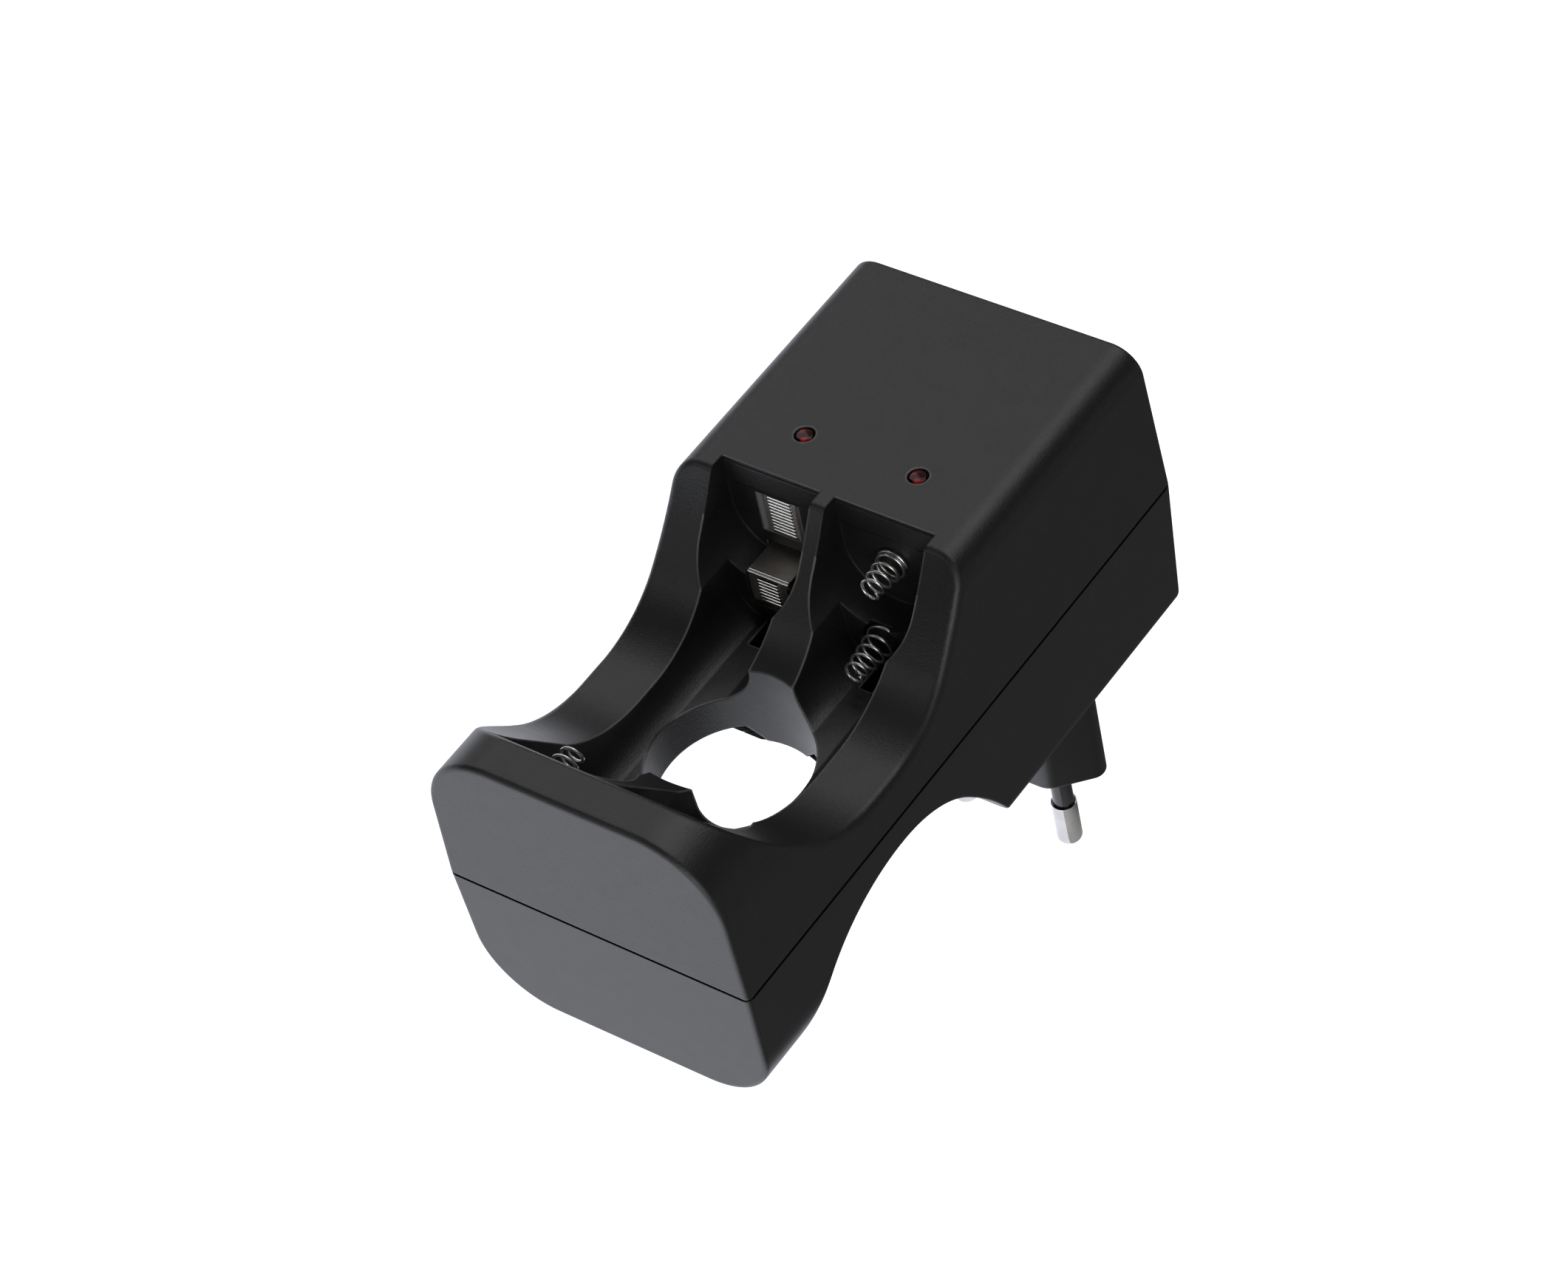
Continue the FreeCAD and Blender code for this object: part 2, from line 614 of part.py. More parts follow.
def plug_prism(grow, z0, z1):
    """The rounded six-sided plug outline, grown or shrunk, between two heights."""
    nose = PLUG_NOSE_RADIUS + grow
    point = PLUG_HALF_WIDTH + grow + nose * (math.sqrt(2) - 1)
    deep = PLUG_HALF_DEPTH + grow
    shoulder = point - deep
    corners = [V(point, 0, z0), V(shoulder, deep, z0), V(-shoulder, deep, z0), V(-point, 0, z0),
               V(-shoulder, -deep, z0), V(shoulder, -deep, z0)]
    solid = prism(corners, V(0, 0, z1 - z0))
    ends = [edge for edge in solid.Edges if abs(edge.BoundBox.XMax ** 2 - point ** 2) < 0.1]
    solid = solid.makeFillet(nose, [edge for edge in ends if edge.BoundBox.ZLength > 1.0])
    flanks = [edge for edge in solid.Edges if edge.BoundBox.YMin ** 2 > (deep - 0.1) ** 2]
    solid = solid.makeFillet(PLUG_CORNER_RADIUS + grow,
                             [edge for edge in flanks if edge.BoundBox.ZLength > 1.0])
    solid.translate(V(0, PLUG_Y, 0))
    return solid


def plug_block():
    flange_z = BOTTOM_Z + WALL
    body = plug_prism(0, PLUG_FACE_Z, flange_z + FLANGE_THICKNESS)
    foot = flat_edges(body, "z", PLUG_FACE_Z - 0.01, PLUG_FACE_Z + 0.01)
    body = body.makeFillet(PLUG_FACE_RADIUS, foot)
    flange = plug_prism(FLANGE_OVERHANG, flange_z, flange_z + FLANGE_THICKNESS)
    hollow = plug_prism(-WALL, PLUG_FACE_Z + PLUG_FLOOR, 0)
    bores = []
    for side in SIDES:
        bores.append(rod(side * PIN_X, PLUG_Y, PLUG_FACE_Z - 1.0, 0, PIN_SHANK_RADIUS))
        bores.append(rod(side * PIN_X, PLUG_Y, PLUG_FACE_Z - 1.0,
                         PLUG_FACE_Z + SLEEVE_DEPTH, SLEEVE_RADIUS))
    return fused([body, flange]).cut([hollow] + bores)


def plug_pin():
    end_z = PLUG_FACE_Z - PIN_LENGTH
    tip_z = end_z + PIN_TIP_LENGTH
    seat_z = PLUG_FACE_Z + PLUG_FLOOR
    cup_z = tip_z - PIN_CUP_DEPTH
    tip = rod(PIN_X, PLUG_Y, end_z, tip_z, PIN_RADIUS)
    tip = tip.makeFillet(PIN_END_RADIUS, flat_edges(tip, "z", end_z - 0.01, end_z + 0.01))
    tip = tip.cut(rod(PIN_X, PLUG_Y, cup_z, tip_z + 1.0, PIN_CUP_RADIUS))
    shank = rod(PIN_X, PLUG_Y, cup_z, seat_z, PIN_SHANK_RADIUS)
    head = rod(PIN_X, PLUG_Y, seat_z, seat_z + PIN_HEAD, PIN_HEAD_RADIUS)
    tail = rod(PIN_X, PLUG_Y, seat_z, seat_z + PIN_HEAD + PIN_TAIL, PIN_TAIL_RADIUS)
    return fused([tip, shank, head, tail])


def pin_sleeve():
    low = PLUG_FACE_Z - PIN_LENGTH + PIN_TIP_LENGTH - PIN_CUP_DEPTH
    high = PLUG_FACE_Z + SLEEVE_DEPTH
    tube = rod(PIN_X, PLUG_Y, low, high, SLEEVE_RADIUS)
    return tube.cut(rod(PIN_X, PLUG_Y, low, high, PIN_SHANK_RADIUS))


def coil_spring(length):
    """Tapered coil with its wide end on the plane Y 0, reaching along -Y."""
    radius = WIRE / 2
    rise = length - WIRE
    tip = SPRING_TIP_RADIUS - radius
    base = SPRING_BASE_RADIUS - radius
    angle = math.degrees(math.atan((base - tip) / rise))
    path = Part.makeHelix(rise / SPRING_TURNS, rise, tip, angle)
    around = [math.tau * flat / WIRE_FLATS for flat in range(WIRE_FLATS)]
    corners = [V(tip + radius * math.cos(a), 0, radius * math.sin(a)) for a in around]
    section = Part.makePolygon(corners + corners[:1])
    coil = Part.Wire(path).makePipeShell([section], True, True)
    coil.rotate(V(0, 0, 0), V(1, 0, 0), -90)
    coil.translate(V(0, radius - length, 0))
    return coil


def rear_spring(length, seat_y, z):
    coil = coil_spring(length)
    coil.translate(V(BAY_X, seat_y, z))
    return coil


def front_spring(length, seat_y, z):
    coil = coil_spring(length)
    coil.rotate(V(0, 0, 0), V(0, 0, 1), 180)
    coil.translate(V(-BAY_X, seat_y, z))
    return coil


def aa_rear_contact():
    """Plate behind the window, with a tail down to the board."""
    half = PLATE_WIDTH / 2
    face = CELL_END_Y + PLATE_RECESS
    low = WINDOW_Z0 - PLATE_MARGIN
    plate = box(-half, half, face, face + METAL, low, WINDOW_Z1 + PLATE_MARGIN)
    tail_y = BOARD_Y0 + 1.0
    shelf = box(-1.5, 1.5, face, tail_y + METAL, low, low + METAL)
    drop = box(-1.5, 1.5, tail_y, tail_y + METAL, BOARD_Z + BOARD_THICKNESS, low + METAL)
    contact = fused([plate, shelf, drop])
    contact.translate(V(-BAY_X, 0, 0))
    return contact


def aaa_rear_contact():
    """Flap over the ledge, folded down in front of the step."""
    half = WINDOW_WIDTH / 2
    tail_y = BOARD_Y0 + 3.0
    top = FLAP_Z + METAL
    flap = box(-half, half, FLAP_FRONT_Y, tail_y + METAL, FLAP_Z, top)
    front = box(-half, half, FLAP_FRONT_Y, FLAP_FRONT_Y + METAL, FLAP_FOOT_Z, top)
    foot = box(-half, half, tail_y, tail_y + METAL, BOARD_Z + BOARD_THICKNESS, top)
    slit = box(-1.5 - POCKET_CLEARANCE, 1.5 + POCKET_CLEARANCE, BOARD_Y0 + 0.5,
               BOARD_Y0 + 2.0, FLAP_Z - 1.0, top + 1.0)
    contact = fused([flap, front, foot]).cut(slit)
    fold = [edge for edge in flat_edges(contact, "y", FLAP_FRONT_Y - 0.01, FLAP_FRONT_Y + 0.01)
            if edge.BoundBox.ZMin > top - 0.01]
    contact = contact.makeFillet(FLAP_BEND, fold)
    contact.translate(V(-BAY_X, 0, 0))
    return contact


def front_contact():
    """One strip with a face for each cell size and a foot for the lead."""
    half = PLATE_WIDTH / 2
    face = BAY_FRONT_Y - PLATE_RECESS
    strip = box(-half, half, face - METAL, face, LEAD_Z - LEAD_RADIUS,
                WINDOW_Z1 + PLATE_MARGIN)
    strip.translate(V(BAY_X, 0, 0))
    return strip


def spring_strip():
    """Strip behind a bay wall that joins the tails of two springs."""
    return box(-2.5, 2.5, 0, METAL, LEAD_Z - LEAD_RADIUS, AA_SPRING_Z + 2.0)


def front_spring_strip():
    strip = spring_strip()
    strip.translate(V(-BAY_X, BAY_FRONT_Y - WALL - METAL, 0))
    return strip


def rear_spring_strip():
    board_top = BOARD_Z + BOARD_THICKNESS
    wall_y = CELL_END_Y + WALL
    strip = box(-2.5, 2.5, wall_y, wall_y + METAL, board_top, AA_SPRING_Z + 2.0)
    foot = box(-2.5, 2.5, wall_y, BOARD_Y0 + 2.0, board_top, board_top + METAL)
    shape = fused([strip, foot])
    shape.translate(V(BAY_X, 0, 0))
    return shape


def circuit_board():
    board = box(-BOARD_HALF_WIDTH, BOARD_HALF_WIDTH, BOARD_Y0, BOARD_Y1, BOARD_Z,
                BOARD_Z + BOARD_THICKNESS)
    holes = []
    for x, y in transformer_pin_places() + led_leg_places():
        holes.append(rod(x, y, 0, FAR, LEG_RADIUS + HOLE_PLAY))
    for side in SIDES:
        holes.append(rod(side * POST_X, REAR_POST_Y, 0, FAR, SCREW_RADIUS + SCREW_CLEARANCE))
    return board.cut(holes)


def core_top():
    return BOARD_Z


def core_bottom():
    return core_top() - CORE_WINDOW_HEIGHT - 2 * CORE_YOKE


def window_bottom():
    return core_bottom() + CORE_YOKE


def window_top():
    return core_top() - CORE_YOKE


def transformer_core():
    y0 = CORE_Y - CORE_HALF_STACK
    y1 = CORE_Y + CORE_HALF_STACK
    block = box(-CORE_HALF_WIDTH, CORE_HALF_WIDTH, y0, y1, core_bottom(), core_top())
    window = box(CORE_YOKE, 2 * CORE_YOKE, y0, y1, window_bottom(), window_top())
    return block.cut(both_sides(window))


def around_leg(margin, z0, z1):
    """Box round the centre leg of the core, grown by margin."""
    half = CORE_YOKE + margin
    deep = CORE_HALF_STACK + margin
    return box(-half, half, CORE_Y - deep, CORE_Y + deep, z0, z1)


def transformer_bobbin():
    low = window_bottom()
    high = window_top()
    middle = (low + high) / 2
    sleeve = around_leg(BOBBIN_PLAY / 2 + BOBBIN_WALL, low, high)
    flange = around_leg(COIL_OVERHANG - BOBBIN_PLAY, low, low + BOBBIN_FLANGE)
    parts = [sleeve, flange]
    for z in (middle - BOBBIN_FLANGE / 2, high - BOBBIN_FLANGE):
        shelf = flange.copy()
        shelf.translate(V(0, 0, z - low))
        parts.append(shelf)
    return fused(parts).cut(around_leg(BOBBIN_PLAY / 2, low, high))


def winding(z0, z1, thickness):
    inner = BOBBIN_PLAY / 2 + BOBBIN_WALL
    ring = around_leg(inner + thickness, z0, z1)
    ring = ring.makeFillet(WINDING_CORNER, [edge for edge in ring.Edges
                                            if edge.BoundBox.ZLength > 1.0])
    return ring.cut(around_leg(inner, z0, z1))


def primary_winding():
    middle = (window_bottom() + window_top()) / 2
    return winding(window_bottom() + BOBBIN_FLANGE, middle - BOBBIN_FLANGE / 2,
                   PRIMARY_DEPTH)


def secondary_winding():
    middle = (window_bottom() + window_top()) / 2
    return winding(middle + BOBBIN_FLANGE / 2, window_top() - BOBBIN_FLANGE,
                   SECONDARY_DEPTH)


def transformer_pin_places():
    places = []
    for step in (-1.5, -0.5, 0.5, 1.5):
        for side in SIDES:
            places.append((step * PIN_PITCH, CORE_Y + side * PIN_ROW))
    return places


def bobbin_pins():
    top = BOARD_Z + BOARD_THICKNESS + 0.8
    pins = [rod(x, y, window_top(), top, LEG_RADIUS) for x, y in transformer_pin_places()]
    return Part.makeCompound(pins)


def led_leg_places():
    places = []
    for side in SIDES:
        for leg in SIDES:
            places.append((side * BAY_X + leg * LEG_PITCH, LED_Y))
    return places


def indicator(side):
    """Round lamp below its hole, standing on the board on two legs."""
    top = TOP_Z - LED_TOP_GAP
    base = top - LED_HEIGHT
    lamp = rod(side * BAY_X, LED_Y, base, top, LED_RADIUS)
    lamp = lamp.makeFillet(LED_DOME, flat_edges(lamp, "z", top - 0.01, top + 0.01))
    rim = rod(side * BAY_X, LED_Y, base, base + 1.0, LED_RADIUS + 0.4)
    legs = [rod(side * BAY_X + leg * LEG_PITCH, LED_Y, BOARD_Z - 0.8, base, LEG_RADIUS)
            for leg in SIDES]
    return fused([lamp, rim] + legs)


def axial_part(x, y, z, radius):
    """Axial part lying on the board with a bent leg at each end."""
    centre = z + radius
    half = PART_LENGTH / 2
    reach = half + LEG_REACH
    body = rod_x(x - half, x + half, y, centre, radius)
    wire = lead([V(x - reach, y, z), V(x - reach, y, centre), V(x + reach, y, centre),
                 V(x + reach, y, z)], LEG_RADIUS)
    return fused([body, wire])


def axial_row(x, radius):
    """Axial parts spaced evenly between the two rows of transformer pins."""
    first = CORE_Y - PIN_ROW + PARTS_ROW_GAP
    pitch = 2 * (PIN_ROW - PARTS_ROW_GAP) / (PARTS_PER_SIDE - 1)
    return Part.makeCompound([axial_part(x, first + pitch * place, BOARD_Z + BOARD_THICKNESS,
                                         radius) for place in range(PARTS_PER_SIDE)])


def rectifier_diodes():
    return axial_row(-PARTS_X, DIODE_RADIUS)


def resistors():
    return axial_row(PARTS_X, RESISTOR_RADIUS)


def transistors():
    """Two cans with a flat front, each on three legs."""
    z = BOARD_Z + BOARD_THICKNESS
    foot = z + TRANSISTOR_STANDOFF
    cans = []
    for side in SIDES:
        x = side * TRANSISTOR_X
        can = rod(x, TRANSISTOR_Y, foot, foot + TRANSISTOR_HEIGHT, TRANSISTOR_RADIUS)
        can = can.cut(box(-FAR, FAR, -FAR, TRANSISTOR_Y - TRANSISTOR_FLAT, z, FAR))
        legs = [rod(x + step * LEG_PITCH, TRANSISTOR_Y, z, foot, LEG_RADIUS)
                for step in (-1, 0, 1)]
        cans.append(fused([can] + legs))
    return Part.makeCompound(cans)


def smoothing_capacitor():
    z = BOARD_Z + BOARD_THICKNESS
    can = rod(0, CORE_Y, z, z + CAP_HEIGHT, CAP_RADIUS)
    return can.makeFillet(0.5, flat_edges(can, "z", z + CAP_HEIGHT - 0.01, z + FAR))


def screw(x, y, seat_z, reach):
    """Pan-head screw driven upward, its head under the seat."""
    shank = rod(x, y, seat_z, seat_z + reach, SCREW_RADIUS)
    head = rod(x, y, seat_z - SCREW_HEAD, seat_z, SCREW_HEAD_RADIUS)
    head = head.makeFillet(0.5, flat_edges(head, "z", seat_z - SCREW_HEAD - 0.01,
                                           seat_z - SCREW_HEAD + 0.01))
    bits = [box(x - 1.2, x + 1.2, y - 0.3, y + 0.3, seat_z - 2 * SCREW_HEAD, seat_z - 0.7),
            box(x - 0.3, x + 0.3, y - 1.2, y + 1.2, seat_z - 2 * SCREW_HEAD, seat_z - 0.7)]
    return fused([shank, head]).cut(bits)


def housing_screws():
    reach = SCREW_REACH - SCREW_SEAT_Z
    return Part.makeCompound([screw(side * x, y, SCREW_SEAT_Z, reach)
                              for side in SIDES for x, y in (FRONT_SCREW, REAR_SCREW)])


def board_screws():
    reach = BOARD_THICKNESS + BOARD_SCREW_REACH
    return Part.makeCompound([screw(side * POST_X, REAR_POST_Y, BOARD_Z, reach)
                              for side in SIDES])


def lead(points, radius):
    """Round wire through a row of points, with a ball at each bend."""
    pieces = []
    for start, end in zip(points, points[1:]):
        run = end - start
        pieces.append(Part.makeCylinder(radius, run.Length, start, run))
    for point in points[1:-1]:
        pieces.append(Part.makeSphere(radius, point))
    return fused(pieces)


def mains_lead():
    tail = PLUG_FACE_Z + PLUG_FLOOR + PIN_HEAD + PIN_TAIL
    side_x = CORE_HALF_WIDTH - 2.5
    side_y = CORE_Y + CORE_HALF_STACK + 3.0
    return lead([V(PIN_X, PLUG_Y, tail), V(PIN_X, PLUG_Y, BOTTOM_Z + 2 * WALL),
                 V(side_x, side_y, core_bottom() + 1.0), V(side_x, side_y, BOARD_Z)],
                MAINS_LEAD_RADIUS)


def front_lead(start_y):
    """Lead from a front contact along the rail to the board."""
    pocket_y = BAY_FRONT_Y - WALL - METAL - LEAD_RADIUS
    end_y = BOARD_Y0 + 2.0
    end_x = BOARD_HALF_WIDTH - 1.5
    return lead([V(BAY_X, start_y, LEAD_Z), V(BAY_X + 2.5, pocket_y, LEAD_Z),
                 V(RAIL_X, pocket_y, LEAD_Z), V(RAIL_X, end_y, LEAD_Z),
                 V(end_x, end_y, LEAD_Z), V(end_x, end_y, BOARD_Z)], LEAD_RADIUS)


def write(name, shape):
    solids = shape.Solids
    moved = Part.makeCompound(solids) if len(solids) > 1 else solids[0]
    moved.translate(V(0, -PLUG_Y, -PLUG_FACE_Z))
    moved.exportStep("parts/" + name + ".step")


def write_all():
    write("upper_housing", upper_housing())
    write("lower_housing", lower_housing())
    write("plug_block", plug_block())
    write("plug_pin_right", plug_pin())
    write("plug_pin_left", mirrored(plug_pin()))
    write("pin_sleeve_right", pin_sleeve())
    write("pin_sleeve_left", mirrored(pin_sleeve()))
    write("aa_spring_rear", rear_spring(AA_SPRING_LENGTH, CELL_END_Y, AA_SPRING_Z))
    write("aaa_spring_rear", rear_spring(AAA_SPRING_LENGTH, CHANNEL_END_Y + SPRING_POCKET,
                                         AAA_SPRING_Z))
    write("aa_spring_front", front_spring(AA_SPRING_LENGTH, BAY_FRONT_Y, AA_SPRING_Z))
    write("aaa_spring_front", front_spring(AAA_SPRING_LENGTH, BAY_FRONT_Y - SPRING_POCKET,
                                           AAA_SPRING_Z))
    write("aa_contact_rear", aa_rear_contact())
    write("aaa_contact_rear", aaa_rear_contact())
    write("contact_strip_front", front_contact())
    write("spring_strip_front", front_spring_strip())
    write("spring_strip_rear", rear_spring_strip())
    write("indicator_left", indicator(-1))
    write("indicator_right", indicator(1))
    write("circuit_board", circuit_board())
    write("transformer_core", transformer_core())
    write("transformer_bobbin", transformer_bobbin())
    write("transformer_pins", bobbin_pins())
    write("primary_winding", primary_winding())
    write("secondary_winding", secondary_winding())
    write("rectifier_diodes", rectifier_diodes())
    write("resistors", resistors())
    write("transistors", transistors())
    write("smoothing_capacitor", smoothing_capacitor())
    write("housing_screws", housing_screws())
    write("board_screws", board_screws())
    write("mains_lead_right", mains_lead())
    write("mains_lead_left", mirrored(mains_lead()))
    write("front_lead_right", front_lead(BAY_FRONT_Y - PLATE_RECESS - METAL - LEAD_RADIUS))
    write("front_lead_left", mirrored(front_lead(BAY_FRONT_Y - WALL - METAL - LEAD_RADIUS)))


write_all()
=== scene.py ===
# %% [markdown]
# # A plug-in charger for two AA or AAA cells
#
# The real charger is two black moulded shells around a transformer, with a
# two-pin plug under its rear end. A wide scoop lets fingers reach the cells,
# and a round hole lets one push them out from below. The imported model
# already holds every solid piece, so this lesson gives each one its finish
# and rebuilds only what is too fine for a solid: springs, contacts and lamps.
#
# The first cell loads the imported model, keeps its box and prints its size;
# the last cell prints the size of the finished model.

# %% Load the imported model
import math

import bmesh
import bpy
from mathutils import Matrix, Vector


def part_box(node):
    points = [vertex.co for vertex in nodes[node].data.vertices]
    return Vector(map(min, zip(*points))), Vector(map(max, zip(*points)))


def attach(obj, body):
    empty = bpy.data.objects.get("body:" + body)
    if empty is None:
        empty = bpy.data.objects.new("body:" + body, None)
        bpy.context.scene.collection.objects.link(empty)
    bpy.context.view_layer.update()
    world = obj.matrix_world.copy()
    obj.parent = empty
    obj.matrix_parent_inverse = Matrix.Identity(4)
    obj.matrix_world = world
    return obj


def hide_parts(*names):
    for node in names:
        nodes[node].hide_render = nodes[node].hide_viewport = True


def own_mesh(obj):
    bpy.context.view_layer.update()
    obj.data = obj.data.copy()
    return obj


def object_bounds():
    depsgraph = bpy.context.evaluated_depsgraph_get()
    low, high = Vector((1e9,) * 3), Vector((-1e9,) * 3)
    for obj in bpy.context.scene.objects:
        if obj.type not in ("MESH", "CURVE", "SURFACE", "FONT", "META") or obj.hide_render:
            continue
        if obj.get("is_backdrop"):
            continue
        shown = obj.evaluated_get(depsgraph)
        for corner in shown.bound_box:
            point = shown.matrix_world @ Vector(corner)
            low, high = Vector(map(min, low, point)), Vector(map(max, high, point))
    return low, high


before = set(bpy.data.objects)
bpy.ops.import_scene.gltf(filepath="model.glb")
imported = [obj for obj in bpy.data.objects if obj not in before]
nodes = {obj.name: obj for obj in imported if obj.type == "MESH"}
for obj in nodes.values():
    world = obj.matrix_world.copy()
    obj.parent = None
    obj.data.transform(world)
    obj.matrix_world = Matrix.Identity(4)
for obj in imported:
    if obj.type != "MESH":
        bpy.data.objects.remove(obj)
cad_low, cad_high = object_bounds()
MM = 0.001
print("pieces in the packed model:", len(nodes))
print("size in mm:", [round(side / MM, 2) for side in cad_high - cad_low])

# %% [markdown]
# ## Camera
#
# The photograph looks down on the charger from the front right with a long
# lens, so its edges hardly converge. A camera is easiest to match as three
# plain facts: where it stands, the point in the middle of its picture, and
# how far it is rolled. The lens is given for a picture 36 mm wide.

# %% Camera at the photograph's viewing angle
CAMERA_AT = Vector((0.33636, -0.38639, 0.55323))
CAMERA_AIM = Vector((-0.00516, -0.03615, 0.05307))
CAMERA_ROLL = math.radians(-13.407)

camera_data = bpy.data.cameras.new("camera")
camera_data.lens = 114.26
camera_data.sensor_width = 36.0
camera = bpy.data.objects.new("camera", camera_data)
bpy.context.scene.collection.objects.link(camera)
turn = (CAMERA_AIM - CAMERA_AT).to_track_quat("-Z", "Y")
camera.matrix_world = (Matrix.Translation(CAMERA_AT) @ turn.to_matrix().to_4x4()
                       @ Matrix.Rotation(CAMERA_ROLL, 4, "Z"))
bpy.context.scene.camera = camera
print("camera to aim, mm:", round((CAMERA_AIM - CAMERA_AT).length / MM, 1))

# %% [markdown]
# ## Node helpers
#
# Every finish here is a Principled shader with procedural textures on Object
# coordinates, which are metres on this model. A few small helpers keep the
# materials short: one starts a material, one adds a node with its plain
# values, and the others make the textures that most finishes share.

# %% Material helpers
def start_material(name, **values):
    """A material whose Principled shader has these sockets set."""
    material = bpy.data.materials.new(name)
    material.use_nodes = True
    shader = material.node_tree.nodes["Principled BSDF"]
    for socket, value in values.items():
        shader.inputs[socket.replace("_", " ")].default_value = value
    return material, shader


def add_node(material, kind, settings=None, **values):
    """A node with its settings and plain socket values."""
    node = material.node_tree.nodes.new("ShaderNode" + kind)
    for key, value in (settings or {}).items():
        setattr(node, key, value)
    for socket, value in values.items():
        node.inputs[socket.replace("_", " ")].default_value = value
    return node


def link(material, output, target):
    """Joins the output of one node to an input of another."""
    material.node_tree.links.new(output, target)


print("helpers: start_material, add_node and link")

# %% Texture helpers
def object_point(material, stretch=None):
    """Object coordinates, squeezed along some axes if asked."""
    point = add_node(material, "TexCoord").outputs["Object"]
    if stretch is None:
        return point
    place = add_node(material, "Mapping")
    place.inputs["Scale"].default_value = stretch
    link(material, point, place.inputs["Vector"])
    return place.outputs["Vector"]


def noise(material, size, detail=2.0, roughness=0.5, stretch=None):
    """Noise whose lumps are about size metres across."""
    texture = add_node(material, "TexNoise", None, Scale=1.0 / size, Detail=detail,
                       Roughness=roughness)
    link(material, object_point(material, stretch), texture.inputs["Vector"])
    return texture.outputs["Fac"]


def ramp(material, factor, low, high, start=0.3, stop=0.7):
    """Blends from one colour to another as a factor rises."""
    blend = add_node(material, "ValToRGB")
    blend.color_ramp.elements[0].position = start
    blend.color_ramp.elements[0].color = (*low, 1.0)
    blend.color_ramp.elements[1].position = stop
    blend.color_ramp.elements[1].color = (*high, 1.0)
    link(material, factor, blend.inputs["Fac"])
    return blend.outputs["Color"]


def span(material, factor, low, high):
    """Maps a factor from 0..1 to low..high."""
    mapped = add_node(material, "MapRange", None, To_Min=low, To_Max=high)
    link(material, factor, mapped.inputs["Value"])
    return mapped.outputs["Result"]


def bump(material, height, depth, normal=None):
    """Bump of a height texture, depth metres deep."""
    node = add_node(material, "Bump", None, Strength=1.0, Distance=depth)
    link(material, height, node.inputs["Height"])
    if normal:
        link(material, normal, node.inputs["Normal"])
    return node.outputs["Normal"]


print("textures: noise, ramp, span and bump")

# %% [markdown]
# ## Black moulded plastic
#
# The shells are black plastic from a spark-eroded mould. Seen close, the skin
# is a fine grain about a third of a millimetre across. Nearly all of its
# brightness is a soft reflection, so the colour itself is close to black and
# the grain works through the bump. The lower shell is smoother than the upper
# one, and the sleeves on the pins are glossy.
#
# A bevel node rounds the light on edges that are sharp in the solid, as a
# mould's small edge radius does. Such edges also get a painted highlight:
# their colour is a little lighter, as if a small radius caught the light
# from above. An occlusion node that looks inward finds them, since only near
# an outer edge is the other face close behind. The seam and the last 6 mm
# before the bays' rear walls get no painted highlight.

# %% Plastic finishes
PLASTIC = (0.0165, 0.0165, 0.0168)
# Colour of the painted highlight on outer edges.
EDGE_HIGHLIGHT_SHADE = (0.27, 0.27, 0.275)
EDGE_REACH = 0.5 * MM
SEAM_TOP = 49.3 * MM
SEAM_HEIGHT = 0.45 * MM
REAR_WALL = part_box("aa_spring_rear")[1].y
# Bands with no painted edge highlight: an axis, the middle and the half width.
NO_HIGHLIGHT_BANDS = (("Z", SEAM_TOP - SEAM_HEIGHT / 2, 0.8 * MM),
             ("Y", REAR_WALL - 3 * MM, 3.1 * MM))


def off_band(material, factor, axis, middle, half):
    """Takes a factor away where the place along an axis is near a middle."""
    place = add_node(material, "SeparateXYZ")
    link(material, object_point(material), place.inputs["Vector"])
    near = add_node(material, "Math", {"operation": "COMPARE"})
    link(material, place.outputs[axis], near.inputs[0])
    near.inputs[1].default_value = middle
    near.inputs[2].default_value = half
    rest = add_node(material, "Math", {"operation": "SUBTRACT", "use_clamp": True})
    link(material, factor, rest.inputs[0])
    link(material, near.outputs[0], rest.inputs[1])
    return rest.outputs[0]


def paint_edge_highlight(material, shade):
    """Paints a highlight: blends a shade towards a lighter one at outer edges."""
    near_edge = add_node(material, "AmbientOcclusion",
                         {"inside": True, "only_local": True, "samples": 8},
                         Distance=EDGE_REACH)
    highlight_mask = ramp(material, near_edge.outputs["AO"], (1, 1, 1), (0, 0, 0), 0.55, 0.85)
    for axis, middle, half in NO_HIGHLIGHT_BANDS:
        highlight_mask = off_band(material, highlight_mask, axis, middle, half)
    painted_highlight = add_node(material, "Mix", {"data_type": "RGBA"})
    link(material, highlight_mask, painted_highlight.inputs["Factor"])
    link(material, shade, painted_highlight.inputs["A"])
    painted_highlight.inputs["B"].default_value = (*EDGE_HIGHLIGHT_SHADE, 1.0)
    return painted_highlight.outputs["Result"]


def moulded_plastic(name, roughness, grain, depth, edge, painted_highlight):
    """Black plastic: grain size and depth, edge radius, painted edge highlight or not."""
    material, shader = start_material(name, IOR=1.6)
    darker = [channel * 0.85 for channel in PLASTIC]
    shade = ramp(material, noise(material, 9 * MM, 4.0), darker, PLASTIC)
    if painted_highlight:
        shade = paint_edge_highlight(material, shade)
    link(material, shade, shader.inputs["Base Color"])
    link(material, span(material, noise(material, 3 * MM, 3.0), roughness - 0.03,
                        roughness + 0.03), shader.inputs["Roughness"])
    rounded = add_node(material, "Bevel", {"samples": 6}, Radius=edge)
    skin = bump(material, noise(material, grain, 3.0, 0.6), depth, rounded.outputs["Normal"])
    link(material, skin, shader.inputs["Normal"])
    return material


